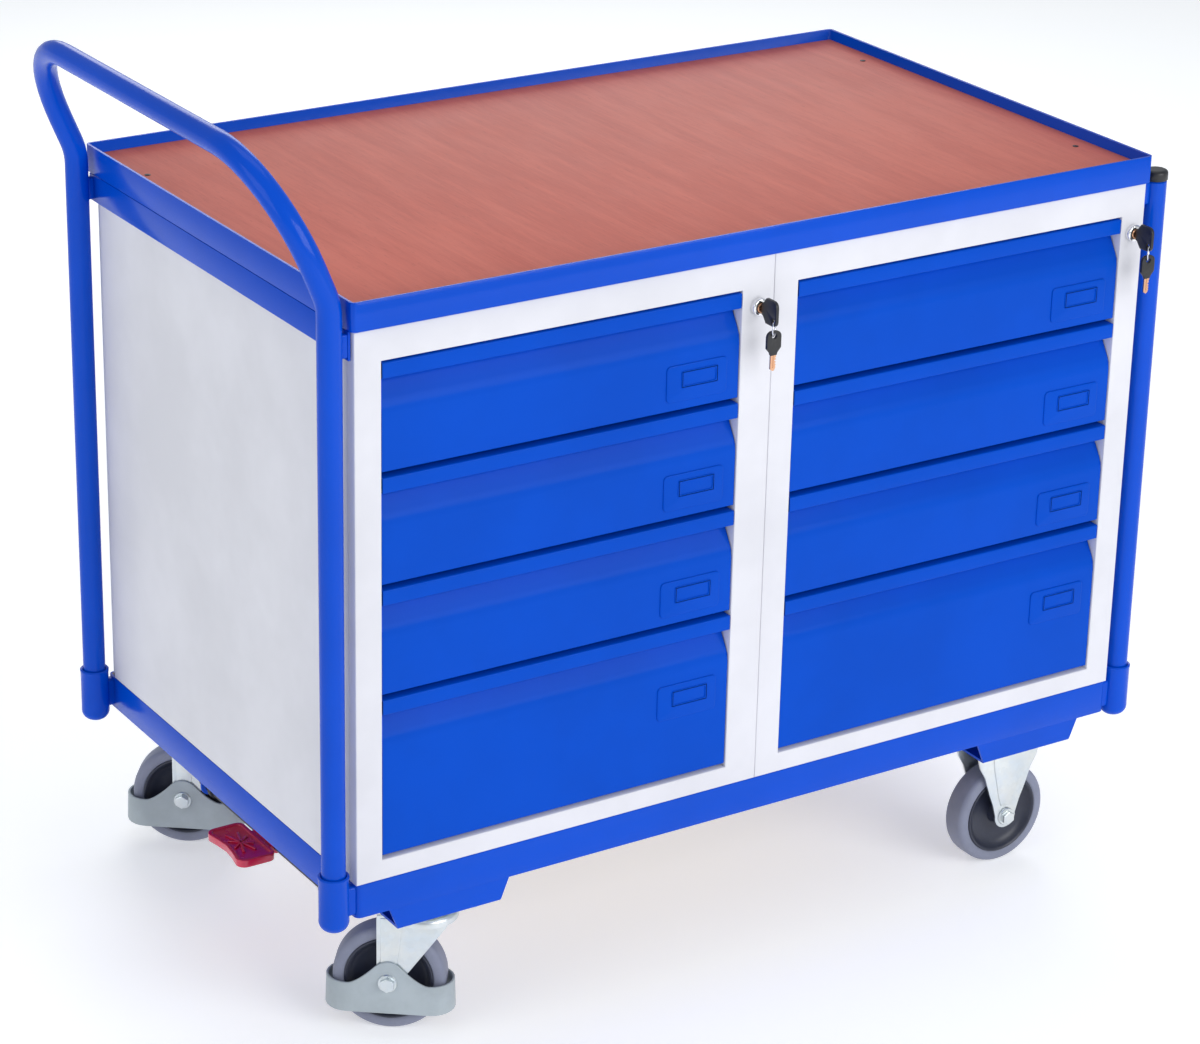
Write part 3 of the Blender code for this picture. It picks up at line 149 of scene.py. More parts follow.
class Form:
    """A mesh modelled in place with edit-mode operators and applied modifiers."""

    def __init__(self, name: str) -> None:
        """Takes the object that an operator has just added.

        Args:
            name: The name of the piece.
        """
        self.obj = bpy.context.object
        self.obj.name = name
        self.obj.data.name = name
        bpy.ops.object.transform_apply(location=True, rotation=True, scale=True)

    # ---- starts

    @classmethod
    def block(cls, name: str, low: Point, high: Point) -> "Form":
        """A box between two corners, as a start."""
        deselect_all()
        low, high = Vector(low), Vector(high)
        bpy.ops.mesh.primitive_cube_add(size=1, location=(low + high) / 2, scale=high - low)
        return cls(name)

    @classmethod
    def disc(cls, name: str, centre: Point, radius: float, axis: Axis, sides: int = 32) -> "Form":
        """A flat filled circle facing along an axis, as a start."""
        deselect_all()
        turn = axis.along.to_track_quat("Z", "Y").to_euler()
        bpy.ops.mesh.primitive_circle_add(
            vertices=sides, radius=radius, location=centre, rotation=turn, fill_type="NGON"
        )
        return cls(name)

    @classmethod
    def sheet(cls, name: str, low: Point, high: Point) -> "Form":
        """A flat upright sheet facing -Y between two corners, as a start."""
        deselect_all()
        low, high = Vector(low), Vector(high)
        size = high - low
        bpy.ops.mesh.primitive_plane_add(size=1, location=(low + high) / 2, rotation=(math.pi / 2, 0, 0))
        bpy.context.object.scale = (size.x, size.z, 1)
        return cls(name)

    @classmethod
    def line(cls, name: str, points: Sequence[Point], closed: bool = False) -> "Form":
        """A line drawn from point to point, filled with a face if it is closed.

        Args:
            name: The name of the piece.
            points: The corners in order.
            closed: Whether the line ends where it starts and is filled.

        Returns:
            The form.
        """
        deselect_all()
        places = [Vector(point) for point in points]
        bpy.ops.mesh.primitive_plane_add(size=MM, location=places[0])
        form = cls(name)
        form.edit()
        bpy.ops.mesh.select_mode(type="VERT")
        bpy.ops.mesh.select_all(action="SELECT")
        bpy.ops.mesh.merge(type="CENTER")
        for start, end in zip(places, places[1:]):
            bpy.ops.mesh.extrude_vertices_move(TRANSFORM_OT_translate={"value": end - start})
        if closed:
            bpy.ops.mesh.select_all(action="SELECT")
            bpy.ops.mesh.edge_face_add()
        return form

    @classmethod
    def turned(
        cls, name: str, profile: Sequence[Point], centre: Point, axis: Axis, steps: int = 32
    ) -> "Form":
        """A profile of (radius, height along the axis) points spun once round an axis.

        Args:
            name: The name of the piece.
            profile: The profile's points in order.
            centre: A point on the axis.
            axis: The axis.
            steps: The number of sides.

        Returns:
            The form.
        """
        middle = Vector(centre)
        form = cls.line(name, [middle + axis.across * r + axis.along * h for r, h in profile])
        bpy.ops.mesh.select_all(action="SELECT")
        bpy.ops.mesh.spin(steps=steps, angle=2 * math.pi, center=middle, axis=axis.along)
        return form.repair()

    @classmethod
    def bar(cls, name: str, start: Point, radius: float, direction: Axis, sides: int = 24) -> "Form":
        """A ring at the start of a round bar, which run() and turn() then draw out."""
        form = cls.disc(name, start, radius, direction, sides)
        form.edit()
        bpy.ops.mesh.select_all(action="SELECT")
        return form

    # ---- modes and selection

    def edit(self) -> "Form":
        """Makes the form active in edit mode."""
        if bpy.context.mode == "EDIT_MESH" and bpy.context.object == self.obj:
            return self
        deselect_all()
        self.obj.select_set(True)
        bpy.context.view_layer.objects.active = self.obj
        bpy.ops.object.mode_set(mode="EDIT")
        return self

    def done(self) -> "Form":
        """Makes the form active and alone selected, in object mode."""
        deselect_all()
        self.obj.select_set(True)
        bpy.context.view_layer.objects.active = self.obj
        return self

    def faces(self, test: Callable[[Vector, Vector], bool]) -> "Form":
        """Selects the faces whose centre and normal pass a test."""
        self.edit()
        bpy.ops.mesh.select_mode(type="FACE")
        bpy.ops.mesh.select_all(action="DESELECT")
        mesh = bmesh.from_edit_mesh(self.obj.data)
        mesh.normal_update()
        for face in mesh.faces:
            face.select_set(test(face.calc_center_median(), face.normal))
        bmesh.update_edit_mesh(self.obj.data)
        return self

    def edges(self, test: Callable[[Vector, Vector], bool]) -> "Form":
        """Selects the edges whose middle and direction pass a test."""
        self.edit()
        bpy.ops.mesh.select_mode(type="EDGE")
        bpy.ops.mesh.select_all(action="DESELECT")
        mesh = bmesh.from_edit_mesh(self.obj.data)
        for edge in mesh.edges:
            start, end = edge.verts[0].co, edge.verts[1].co
            edge.select_set(test((start + end) / 2, (end - start).normalized()))
        bmesh.update_edit_mesh(self.obj.data)
        return self

    def along(self, axis: Axis) -> "Form":
        """Selects the edges that run along an axis."""
        return self.edges(lambda middle, way: abs(way.dot(axis.along)) > SQUARE_ON)

    def facing(self, axis: Axis, sign: int = 1) -> "Form":
        """Selects the faces that look along an axis, or against it where the sign is -1."""
        return self.faces(lambda middle, normal: sign * normal.dot(axis.along) > SQUARE_ON)

    def points(self, test: Callable[[Vector], bool]) -> "Form":
        """Selects the vertices whose place passes a test."""
        self.edit()
        bpy.ops.mesh.select_mode(type="VERT")
        bpy.ops.mesh.select_all(action="DESELECT")
        mesh = bmesh.from_edit_mesh(self.obj.data)
        for vertex in mesh.verts:
            vertex.select_set(test(vertex.co))
        mesh.select_flush_mode()
        bmesh.update_edit_mesh(self.obj.data)
        return self

    # ---- edit-mode tools, on what is selected

    def extrude(self, vector: Point) -> "Form":
        """Draws the selected faces out along a vector."""
        bpy.ops.mesh.extrude_region_move(TRANSFORM_OT_translate={"value": Vector(vector)})
        return self

    def extrude_edges(self, vector: Point) -> "Form":
        """Draws the selected edges out into faces along a vector."""
        bpy.ops.mesh.extrude_edges_move(TRANSFORM_OT_translate={"value": Vector(vector)})
        return self

    def inset(self, thickness: float) -> "Form":
        """Insets the selected faces."""
        bpy.ops.mesh.inset(thickness=thickness, use_even_offset=True)
        return self

    def bevel(self, width: float, segments: int = 3) -> "Form":
        """Rounds the selected edges."""
        bpy.ops.mesh.bevel(offset=width, segments=segments, affect="EDGES", clamp_overlap=True)
        return self

    def move(self, vector: Point) -> "Form":
        """Moves what is selected."""
        bpy.ops.transform.translate(value=Vector(vector))
        return self

    def stretch(self, scale: Point) -> "Form":
        """Scales what is selected about its own middle."""
        mesh = bmesh.from_edit_mesh(self.obj.data)
        chosen = [vertex.co for vertex in mesh.verts if vertex.select]
        middle = sum(chosen, Vector()) / len(chosen)
        bpy.ops.transform.resize(value=scale, center_override=middle)
        return self

    def bridge(self) -> "Form":
        """Joins two selected faces by a tunnel."""
        bpy.ops.mesh.bridge_edge_loops()
        return self

    def remove(self, kind: str = "FACE") -> "Form":
        """Deletes what is selected."""
        bpy.ops.mesh.delete(type=kind)
        return self

    def slice(self, place: Point, normal: Point, clear: bool = False) -> "Form":
        """Cuts the whole form by a plane, and drops what lies beyond it if asked."""
        self.edit()
        bpy.ops.mesh.select_all(action="SELECT")
        bpy.ops.mesh.bisect(
            plane_co=Vector(place), plane_no=Vector(normal), use_fill=False, clear_outer=clear
        )
        return self

    def run(self, vector: Point) -> "Form":
        """Draws a bar's end straight on."""
        return self.extrude(vector)

    def turn(self, centre: Point, axis: Point, angle: float, steps: int = 8) -> "Form":
        """Draws a bar's end round a bend, by the right-hand rule about an axis."""
        bpy.ops.mesh.spin(steps=steps, angle=-angle, center=Vector(centre), axis=Vector(axis))
        return self

    def repair(self) -> "Form":
        """Merges doubled points and faces every face outwards."""
        self.edit()
        bpy.ops.mesh.select_all(action="SELECT")
        bpy.ops.mesh.remove_doubles(threshold=0.00001)
        bpy.ops.mesh.normals_make_consistent(inside=False)
        return self

    # ---- finishing

    def _apply(self, kind: str, **settings: object) -> "Form":
        """Adds a modifier with these settings and applies it."""
        self.done()
        modifier = self.obj.modifiers.new(kind.lower(), kind)
        for name, value in settings.items():
            setattr(modifier, name, value)
        bpy.ops.object.modifier_apply(modifier=modifier.name)
        return self

    def thicken(self, thickness: float, offset: float = -1.0) -> "Form":
        """Gives an open sheet its thickness, inwards for an offset of -1."""
        return self._apply("SOLIDIFY", thickness=thickness, offset=offset, use_even_offset=True)

    def round_off(self, width: float, segments: int = 2, angle: float = 40.0) -> "Form":
        """Rounds every edge sharper than an angle in degrees."""
        return self._apply(
            "BEVEL",
            width=width,
            segments=segments,
            limit_method="ANGLE",
            angle_limit=math.radians(angle),
            use_clamp_overlap=True,
        )

    def cut(self, cutter: "Form") -> "Form":
        """Cuts another form out of this one and drops it."""
        cutter.done()
        self._apply("BOOLEAN", operation="DIFFERENCE", solver="EXACT", object=cutter.obj)
        bpy.data.objects.remove(cutter.obj, do_unlink=True)
        return self

    def smooth(self, angle: float = 35.0) -> "Form":
        """Shades smooth up to an angle in degrees."""
        self.done()
        bpy.ops.object.shade_smooth_by_angle(angle=math.radians(angle))
        return self

    def join(self, others: Iterable["Form"]) -> "Form":
        """Takes other forms into this one's mesh."""
        deselect_all()
        for other in others:
            other.obj.select_set(True)
        self.obj.select_set(True)
        bpy.context.view_layer.objects.active = self.obj
        bpy.ops.object.join()
        return self

    def copy(self, name: str, offset: Point = (0, 0, 0)) -> "Form":
        """A copy with its own mesh, moved by an offset."""
        self.done()
        bpy.ops.object.duplicate(linked=False)
        bpy.ops.transform.translate(value=Vector(offset))
        return Form(name)

    def mirrored(self, name: str, plane: Axis, place: float) -> "Form":
        """A copy mirrored in the plane square to an axis at a place on it."""
        twin = self.copy(name)
        scale = Vector((1, 1, 1)) - 2 * plane.along
        twin.done()
        twin.obj.scale = scale
        twin.obj.location = plane.along * 2 * place
        bpy.ops.object.transform_apply(location=True, rotation=True, scale=True)
        twin.edit()
        bpy.ops.mesh.select_all(action="SELECT")
        bpy.ops.mesh.normals_make_consistent(inside=False)
        return twin

    def stand(self, rows: Sequence[Point]) -> "Form":
        """Turns the form about the origin by a rotation given in rows."""
        self.done()
        self.obj.matrix_world = Matrix(rows).to_4x4()
        bpy.ops.object.transform_apply(location=True, rotation=True, scale=True)
        return self

    def place(self, location: Point, heading: float = 0.0) -> "Form":
        """Moves and turns the form about Z, with the place kept in its mesh."""
        self.done()
        self.obj.location = Vector(location)
        self.obj.rotation_euler = Euler((0, 0, heading))
        bpy.ops.object.transform_apply(location=True, rotation=True, scale=True)
        return self


def arc(centre: Point, radius: float, start: float, end: float, steps: int) -> list[tuple[float, float]]:
    """Points on a flat arc, with its angles in degrees."""
    found = []
    for step in range(steps + 1):
        angle = math.radians(start + (end - start) * step / steps)
        found.append((centre[0] + radius * math.cos(angle), centre[1] + radius * math.sin(angle)))
    return found


def xz(points: Iterable[Point], y: float) -> list[Vector]:
    """Flat (u, v) points stood up in the XZ plane at a depth."""
    return [Vector((u, y, v)) for u, v in points]


def yz(points: Iterable[Point], x: float) -> list[Vector]:
    """Flat (u, v) points stood up in the YZ plane at a place on X."""
    return [Vector((x, u, v)) for u, v in points]


def xy(points: Iterable[Point], z: float) -> list[Vector]:
    """Flat (u, v) points laid in the XY plane at a height."""
    return [Vector((u, v, z)) for u, v in points]


# ------------------------------------------------------------------ materials


class Reading:
    """A shader socket whose arithmetic adds Math nodes."""

    def __init__(self, nodes: "Nodes", socket: bpy.types.NodeSocket) -> None:
        """Wraps a socket of a material's node tree."""
        self.nodes = nodes
        self.socket = socket

    def _math(self, operation: str, first: object, second: object) -> "Reading":
        """The result of a Math node on two values."""
        return self.nodes.add("ShaderNodeMath", {"operation": operation}, {0: first, 1: second})[0]

    def __add__(self, other: object) -> "Reading":
        return self._math("ADD", self, other)

    __radd__ = __add__

    def __sub__(self, other: object) -> "Reading":
        return self._math("SUBTRACT", self, other)

    def __rsub__(self, other: object) -> "Reading":
        return self._math("SUBTRACT", other, self)

    def __mul__(self, other: object) -> "Reading":
        return self._math("MULTIPLY", self, other)

    __rmul__ = __mul__

    def clipped(self) -> "Reading":
        """The value kept between 0 and 1."""
        return self.nodes.add("ShaderNodeClamp", {}, {"Value": self})[0]

    def ramp(self, low: float, high: float) -> "Reading":
        """0 below low, 1 above high and smooth between."""
        settings = {"interpolation_type": "SMOOTHSTEP"}
        return self.nodes.add(
            "ShaderNodeMapRange", settings, {"Value": self, "From Min": low, "From Max": high}
        )[0]


class Nodes:
    """The node tree of one material, with the surface's own coordinates."""

    def __init__(self, name: str) -> None:
        """Starts a material with one Principled shader.

        Args:
            name: The material's name.
        """
        self.material = bpy.data.materials.new(name)
        self.material.use_nodes = True
        self.tree = self.material.node_tree
        self.shader = next(n for n in self.tree.nodes if n.type == "BSDF_PRINCIPLED")
        self.place = self.add("ShaderNodeTexCoord", {}, {})[3]

    def add(
        self, kind: str, settings: dict[str, object], inputs: dict[object, object]
    ) -> list["Reading"]:
        """Adds a node, sets its settings first and then its sockets.

        Args:
            kind: The node's type.
            settings: Its settings by name, and a ramp's stops under "stops".
            inputs: Values or readings by socket name or number.

        Returns:
            A reading of each output.
        """
        node = self.tree.nodes.new(kind)
        for key, value in settings.items():
            if key == "stops":
                self._set_stops(node.color_ramp, value)
            else:
                setattr(node, key, value)
        for key, value in inputs.items():
            self.wire(node.inputs[key], value)
        return [Reading(self, socket) for socket in node.outputs]

    @staticmethod
    def _set_stops(ramp: bpy.types.ColorRamp, stops: Sequence[tuple[float, Point]]) -> None:
        """Gives a colour ramp its stops."""
        while len(ramp.elements) < len(stops):
            ramp.elements.new(0.5)
        for element, (position, colour) in zip(ramp.elements, stops):
            element.position = position
            element.color = (*colour, 1)

    def wire(self, socket: bpy.types.NodeSocket, value: object) -> None:
        """Links a reading to a socket, or sets the socket's value."""
        if isinstance(value, Reading):
            self.tree.links.new(value.socket, socket)
        else:
            socket.default_value = value

    def set(self, **values: object) -> None:
        """Sets the shader's sockets by name, with _ for a space."""
        for name, value in values.items():
            self.wire(self.shader.inputs[name.replace("_", " ")], value)

    def scaled(self, scale: Point) -> "Reading":
        """The surface's coordinates stretched on each axis."""
        return self.add("ShaderNodeMapping", {}, {"Vector": self.place, "Scale": Vector(scale)})[0]

    def noise(
        self, scale: float, detail: float = 3.0, rough: float = 0.5, at: Optional["Reading"] = None
    ) -> "Reading":
        """Cloudy noise from 0 to 1."""
        inputs = {"Vector": at or self.place, "Scale": scale, "Detail": detail, "Roughness": rough}
        return self.add("ShaderNodeTexNoise", {}, inputs)[0]

    def cells(self, scale: float, at: Optional["Reading"] = None) -> list["Reading"]:
        """A cell pattern: its distance and its colour."""
        place = at or self.place
        return self.add("ShaderNodeTexVoronoi", {"feature": "F1"}, {"Vector": place, "Scale": scale})

    def blend(self, share: object, first: object, second: object) -> "Reading":
        """A colour between two colours."""
        settings = {"data_type": "RGBA", "clamp_factor": True}
        first = (*first, 1) if isinstance(first, tuple) else first
        second = (*second, 1) if isinstance(second, tuple) else second
        return self.add("ShaderNodeMix", settings, {0: share, 6: first, 7: second})[2]

    def bump(
        self, height: "Reading", distance: float, strength: float = 1.0, under: Optional["Reading"] = None
    ) -> "Reading":
        """A bumped normal from a height, over another bump if one is given."""
        inputs = {"Height": height, "Distance": distance, "Strength": strength}
        if under is not None:
            inputs["Normal"] = under
        return self.add("ShaderNodeBump", {}, inputs)[0]


def shade_of(colour: tuple[float, float, float], factor: float) -> tuple[float, float, float]:
    """A colour made darker or lighter."""
    return tuple(min(1.0, channel * factor) for channel in colour)


@dataclass(frozen=True)
class PowderCoat:
    """Baked powder coat: a fine orange-peel surface, faint cloudiness, dust and a few light scuffs."""

    name: str
    colour: tuple[float, float, float]
    roughness: float = 0.32
    peel: float = 900.0
    peel_depth: float = 0.05 * MM
    grit: float = 0.0
    coat: float = 0.25
    shine: float = 0.3

    def build(self) -> bpy.types.Material:
        """Makes the material."""
        nodes = Nodes(self.name)
        cloud = nodes.noise(5.0, 4.0, 0.6)
        speck = nodes.noise(1400.0, 2.0, 0.7).ramp(0.62, 0.74)
        scuff = nodes.noise(60.0, 5.0, 0.7, nodes.scaled((1.0, 0.25, 3.0))).ramp(0.66, 0.80)
        base = nodes.blend(cloud.ramp(0.3, 0.7), shade_of(self.colour, 0.94), shade_of(self.colour, 1.05))
        base = nodes.blend(speck * 0.10, base, shade_of(self.colour, 1.3))
        base = nodes.blend(scuff * 0.10, base, shade_of(self.colour, 0.8))
        peel = nodes.noise(self.peel, 2.0, 0.4)
        waves = nodes.noise(self.peel * 0.12, 2.0, 0.5)
        fine = nodes.bump(peel, self.peel_depth + self.grit, 0.35)
        nodes.set(
            Base_Color=base,
            Roughness=(self.roughness + cloud * 0.07 + scuff * 0.12 + speck * 0.05).clipped(),
            Normal=nodes.bump(waves, self.peel_depth * 2, 0.25, fine),
            Coat_Weight=self.coat,
            Coat_Roughness=0.12,
            Specular_IOR_Level=self.shine,
        )
        return nodes.material


@dataclass(frozen=True)
class DecorBoard:
    """Beech-coloured decor board: fine grain along Y with short dark pores, slow bands and rubbed marks."""

    name: str
    light: tuple[float, float, float]
    dark: tuple[float, float, float]

    def build(self) -> bpy.types.Material:
        """Makes the material."""
        nodes = Nodes(self.name)
        bend = nodes.noise(1.6, 2.0, 0.5)
        along = nodes.scaled((1.0, 0.10, 1.0))
        streak = nodes.noise(55.0, 6.0, 0.65, along)
        fibre = nodes.noise(420.0, 4.0, 0.7, nodes.scaled((1.0, 0.035, 1.0)))
        pore = nodes.noise(900.0, 2.0, 0.5, nodes.scaled((1.0, 0.06, 1.0))).ramp(0.63, 0.70)
        band = (streak * 0.6 + bend * 0.4).ramp(0.34, 0.66)
        base = nodes.blend(band, self.dark, self.light)
        base = nodes.blend(fibre.ramp(0.45, 0.72) * 0.35, base, shade_of(self.light, 1.12))
        base = nodes.blend(pore * 0.35, base, shade_of(self.dark, 0.62))
        rub = nodes.noise(14.0, 5.0, 0.7)
        nodes.set(
            Base_Color=base,
            Roughness=(0.50 + fibre * 0.12 + rub * 0.10).clipped(),
            Normal=nodes.bump(fibre - pore * 0.8, 0.04 * MM, 0.5),
            IOR=1.45,
        )
        return nodes.material


@dataclass(frozen=True)
class Chipboard:
    """Coated chipboard: pale brown flakes under a thin film."""

    name: str
    light: tuple[float, float, float]
    dark: tuple[float, float, float]

    def build(self) -> bpy.types.Material:
        """Makes the material."""
        nodes = Nodes(self.name)
        flake = nodes.cells(260.0, at=nodes.scaled((1.0, 0.55, 1.0)))
        tone = nodes.add("ShaderNodeSeparateColor", {}, {0: flake[1]})[0]
        cloud = nodes.noise(9.0, 4.0, 0.6)
        base = nodes.blend(tone, self.dark, self.light)
        base = nodes.blend(cloud * 0.25, base, shade_of(self.dark, 0.8))
        nodes.set(
            Base_Color=base,
            Roughness=(0.62 + tone * 0.18).clipped(),
            Normal=nodes.bump(flake[0], 0.08 * MM, 0.4),
        )
        return nodes.material


@dataclass(frozen=True)
class Metal:
    """Bare or plated metal: drawn lines or faint plating crystals, with a cloudy tint and roughness."""

    name: str
    colour: tuple[float, float, float]
    tint: tuple[float, float, float]
    roughness: float
    brushed: Point = (1.0, 1.0, 1.0)
    crystals: float = 0.0
    texture: float = 500.0
    depth: float = 0.02 * MM

    def build(self) -> bpy.types.Material:
        """Makes the material."""
        nodes = Nodes(self.name)
        cloud = nodes.noise(28.0, 4.0, 0.6)
        lines = nodes.noise(self.texture, 3.0, 0.6, nodes.scaled(self.brushed))
        base = nodes.blend(cloud.ramp(0.35, 0.7), self.colour, self.tint)
        rough = self.roughness + lines * 0.12 + cloud * 0.06
        if self.crystals:
            facet = nodes.add("ShaderNodeSeparateColor", {}, {0: nodes.cells(170.0)[1]})[0]
            base = nodes.blend(facet * self.crystals, base, shade_of(self.tint, 0.72))
            rough = rough + facet * self.crystals * 0.3
        nodes.set(
            Base_Color=base,
            Metallic=1.0,
            Roughness=rough.clipped(),
            Normal=nodes.bump(lines, self.depth, 0.3),
        )
        return nodes.material


@dataclass(frozen=True)
class Plastic:
    """Moulded plastic or rubber: a spark-eroded grain, soft cloudiness and fine dust."""

    name: str
    colour: tuple[float, float, float]
    roughness: float = 0.45
    grain: float = 1200.0
    depth: float = 0.04 * MM
    dust: float = 0.12
    dust_colour: tuple[float, float, float] = (0.45, 0.45, 0.46)
    coat: float = 0.0

    def build(self) -> bpy.types.Material:
        """Makes the material."""
        nodes = Nodes(self.name)
        cloud = nodes.noise(22.0, 4.0, 0.6)
        grain = nodes.noise(self.grain, 3.0, 0.6)
        film = nodes.noise(75.0, 5.0, 0.7).ramp(0.5, 0.85)
        base = nodes.blend(cloud.ramp(0.3, 0.7), shade_of(self.colour, 0.92), shade_of(self.colour, 1.08))
        base = nodes.blend(film * self.dust, base, self.dust_colour)
        nodes.set(
            Base_Color=base,
            Roughness=(self.roughness + grain * 0.10 + film * 0.10).clipped(),
            Normal=nodes.bump(grain, self.depth, 0.4),
            Coat_Weight=self.coat,
            Coat_Roughness=0.15,
        )
        return nodes.material


class Finish(Enum):
    """Every finish on the bench."""

    BLUE = PowderCoat("blue_powder_coat", (0.0, 0.070, 0.57), 0.22, 700.0, 0.05 * MM, 0.0, 0.24, 0.05)
    DRAWER_BLUE = PowderCoat(
        "drawer_blue_coat", (0.0, 0.068, 0.52), 0.36, 1100.0, 0.05 * MM, 0.02 * MM, 0.04, 0.05
    )
    WHITE = PowderCoat("light_grey_coat", (0.72, 0.715, 0.76), 0.45, 1300.0, 0.05 * MM, 0.03 * MM, 0.10)
    BOARD = DecorBoard("beech_decor_board", (0.66, 0.165, 0.115), (0.55, 0.120, 0.084))
    CHIPBOARD = Chipboard("coated_chipboard", (0.46, 0.36, 0.26), (0.33, 0.24, 0.16))
    ZINC = Metal("zinc_plate", (0.66, 0.72, 0.76), (0.74, 0.76, 0.74), 0.22, (1.0, 1.0, 0.2), 0.16, 600.0)
    RUNNER_ZINC = Metal(
        "runner_zinc", (0.58, 0.62, 0.64), (0.66, 0.67, 0.64), 0.28, (1.0, 0.06, 1.0), 0.12, 700.0
    )
    CHROME = Metal("bright_chrome", (0.80, 0.80, 0.81), (0.72, 0.73, 0.75), 0.06, (1.0, 1.0, 1.0), 0.0, 900.0)
    BRASS = Metal("copper_brass", (0.66, 0.36, 0.22), (0.74, 0.46, 0.28), 0.18, (1.0, 0.2, 1.0), 0.0, 1500.0)
    SHAFT = Metal(
        "blackened_steel", (0.035, 0.035, 0.04), (0.06, 0.06, 0.065), 0.38, (1.0, 0.1, 1.0), 0.0, 900.0
    )
    BLACK = Plastic("black_plastic", (0.012, 0.012, 0.014), 0.36, 1400.0, 0.03 * MM, 0.05)
    TREAD = Plastic("grey_tread", (0.21, 0.225, 0.305), 0.48, 800.0, 0.05 * MM, 0.18, (0.36, 0.38, 0.48))
    HUB = Plastic("navy_hub_plastic", (0.020, 0.024, 0.045), 0.34, 900.0, 0.03 * MM, 0.05)
    GUARD = Plastic(
        "grey_guard_plastic", (0.38, 0.43, 0.46), 0.42, 700.0, 0.05 * MM, 0.10, (0.62, 0.66, 0.68)
    )
    RED = Plastic("red_pedal_plastic", (0.62, 0.0, 0.055), 0.20, 700.0, 0.03 * MM, 0.0, (0.7, 0.2, 0.25), 0.6)

    @property
    def material(self) -> bpy.types.Material:
        """The finish's material, made the first time it is asked for."""
        return bpy.data.materials.get(self.value.name) or self.value.build()


def dress(
    form: Form, finish: Finish, body: str, stands_for: Sequence[str] = ()
) -> Form:
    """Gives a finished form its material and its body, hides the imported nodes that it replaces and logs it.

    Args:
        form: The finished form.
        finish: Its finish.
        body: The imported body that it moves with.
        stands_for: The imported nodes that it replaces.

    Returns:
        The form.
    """
    form.done()
    form.obj.data.materials.clear()
    form.obj.data.materials.append(finish.material)
    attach(form.obj, body)
    if stands_for:
        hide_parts(*stands_for)
    LOG.info("%s: %d faces, rides on %s", form.obj.name, len(form.obj.data.polygons), body)
    return form


def dress_node(node: str, finish: Finish) -> None:
    """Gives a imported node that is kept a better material."""
    obj = frame["nodes"][node]
    obj.data.materials.clear()
    obj.data.materials.append(finish.material)
    LOG.info("%s: kept as packed", node)


def joint(name: str) -> dict[str, object]:
    """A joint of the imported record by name."""
    return next(found for found in frame["joints"] if found["name"] == name)


# ------------------------------------------------------------------ tray and board


@dataclass
class Tray:
    """The angle frame round the top, the board let into it and the board's screws."""

    wall: float = 3 * MM
    ledge: float = 30 * MM
    corner: float = 6 * MM
    screw_radius: float = 3.4 * MM
    screw_inset: tuple[float, float] = (23 * MM, 101 * MM)
    rim: Box = field(default_factory=lambda: Box.of("tray_frame"))
    board: Box = field(default_factory=lambda: Box.of("work_top"))

    def build(self) -> None:
        """Models and dresses the tray."""
        dress(self.frame_form(), Finish.BLUE, "frame", ["tray_frame"])
        dress(self.board_form(), Finish.BOARD, "frame", ["work_top"])
        dress(self.screws_form(), Finish.SHAFT, "frame")

    def frame_form(self) -> Form:
        """The rim with a ledge inside its foot."""
        low, high = self.rim.low, self.rim.high
        form = Form.block("tray_rim", low, high)
        form.facing(Axis.Z).inset(self.wall)
        form.extrude((0, 0, self.wall - (high.z - low.z))).inset(self.ledge - self.wall)
        form.facing(Axis.Z, -1).inset(self.ledge)
        form.faces(
            lambda middle, normal: abs(normal.z) > SQUARE_ON and (middle - self.rim.centre).xy.length < MM
        )
        form.bridge()
        near = self.wall + 0.5 * MM
        form.edges(
            lambda middle, way: abs(way.z) > SQUARE_ON
            and self.rim.size.x / 2 - abs(middle.x - self.rim.centre.x) < 0.1 * MM
        )
        form.bevel(self.corner, 4)
        form.edges(
            lambda middle, way: abs(way.z) > SQUARE_ON
            and 0.5 * MM < self.rim.size.x / 2 - abs(middle.x - self.rim.centre.x) < near
            and abs(middle.y - self.rim.centre.y) < self.rim.size.y / 2 - MM
        )
        form.bevel(self.corner - self.wall, 3)
        return form.round_off(0.7 * MM, 2).smooth()

    def board_form(self) -> Form:
        """The board, with its corners and edges just broken."""
        form = Form.block("work_board", self.board.low, self.board.high)
        form.along(Axis.Z).bevel(3 * MM, 3)
        return form.round_off(0.5 * MM, 2).smooth()

    def screws_form(self) -> Form:
        """Four flush screws with a recess each, near the board's ends."""
        middle = self.board.centre
        top = self.board.high.z
        first: Optional[Form] = None
        others: list[Form] = []
        for side in Side:
            for depth in (-1, 1):
                x = self.board.end(side) - side.value * self.screw_inset[0]
                y = middle.y + depth * (self.board.size.y / 2 - self.screw_inset[1])
                if first is None:
                    form = Form.disc("board_screws", (x, y, top - 0.2 * MM), self.screw_radius, Axis.Z, 24)
                    form.faces(lambda centre, normal: True).extrude((0, 0, 0.7 * MM))
                    form.facing(Axis.Z).inset(0.9 * MM)
                    form.move((0, 0, 0.25 * MM)).inset(1.6 * MM).extrude((0, 0, -0.7 * MM))
                    first = form.repair().smooth()
                    start = Vector((x, y, 0))
                else:
                    others.append(first.copy("board_screw", Vector((x, y, 0)) - start))
        return first.join(others)


# ------------------------------------------------------------------ tubes, sockets and end rails


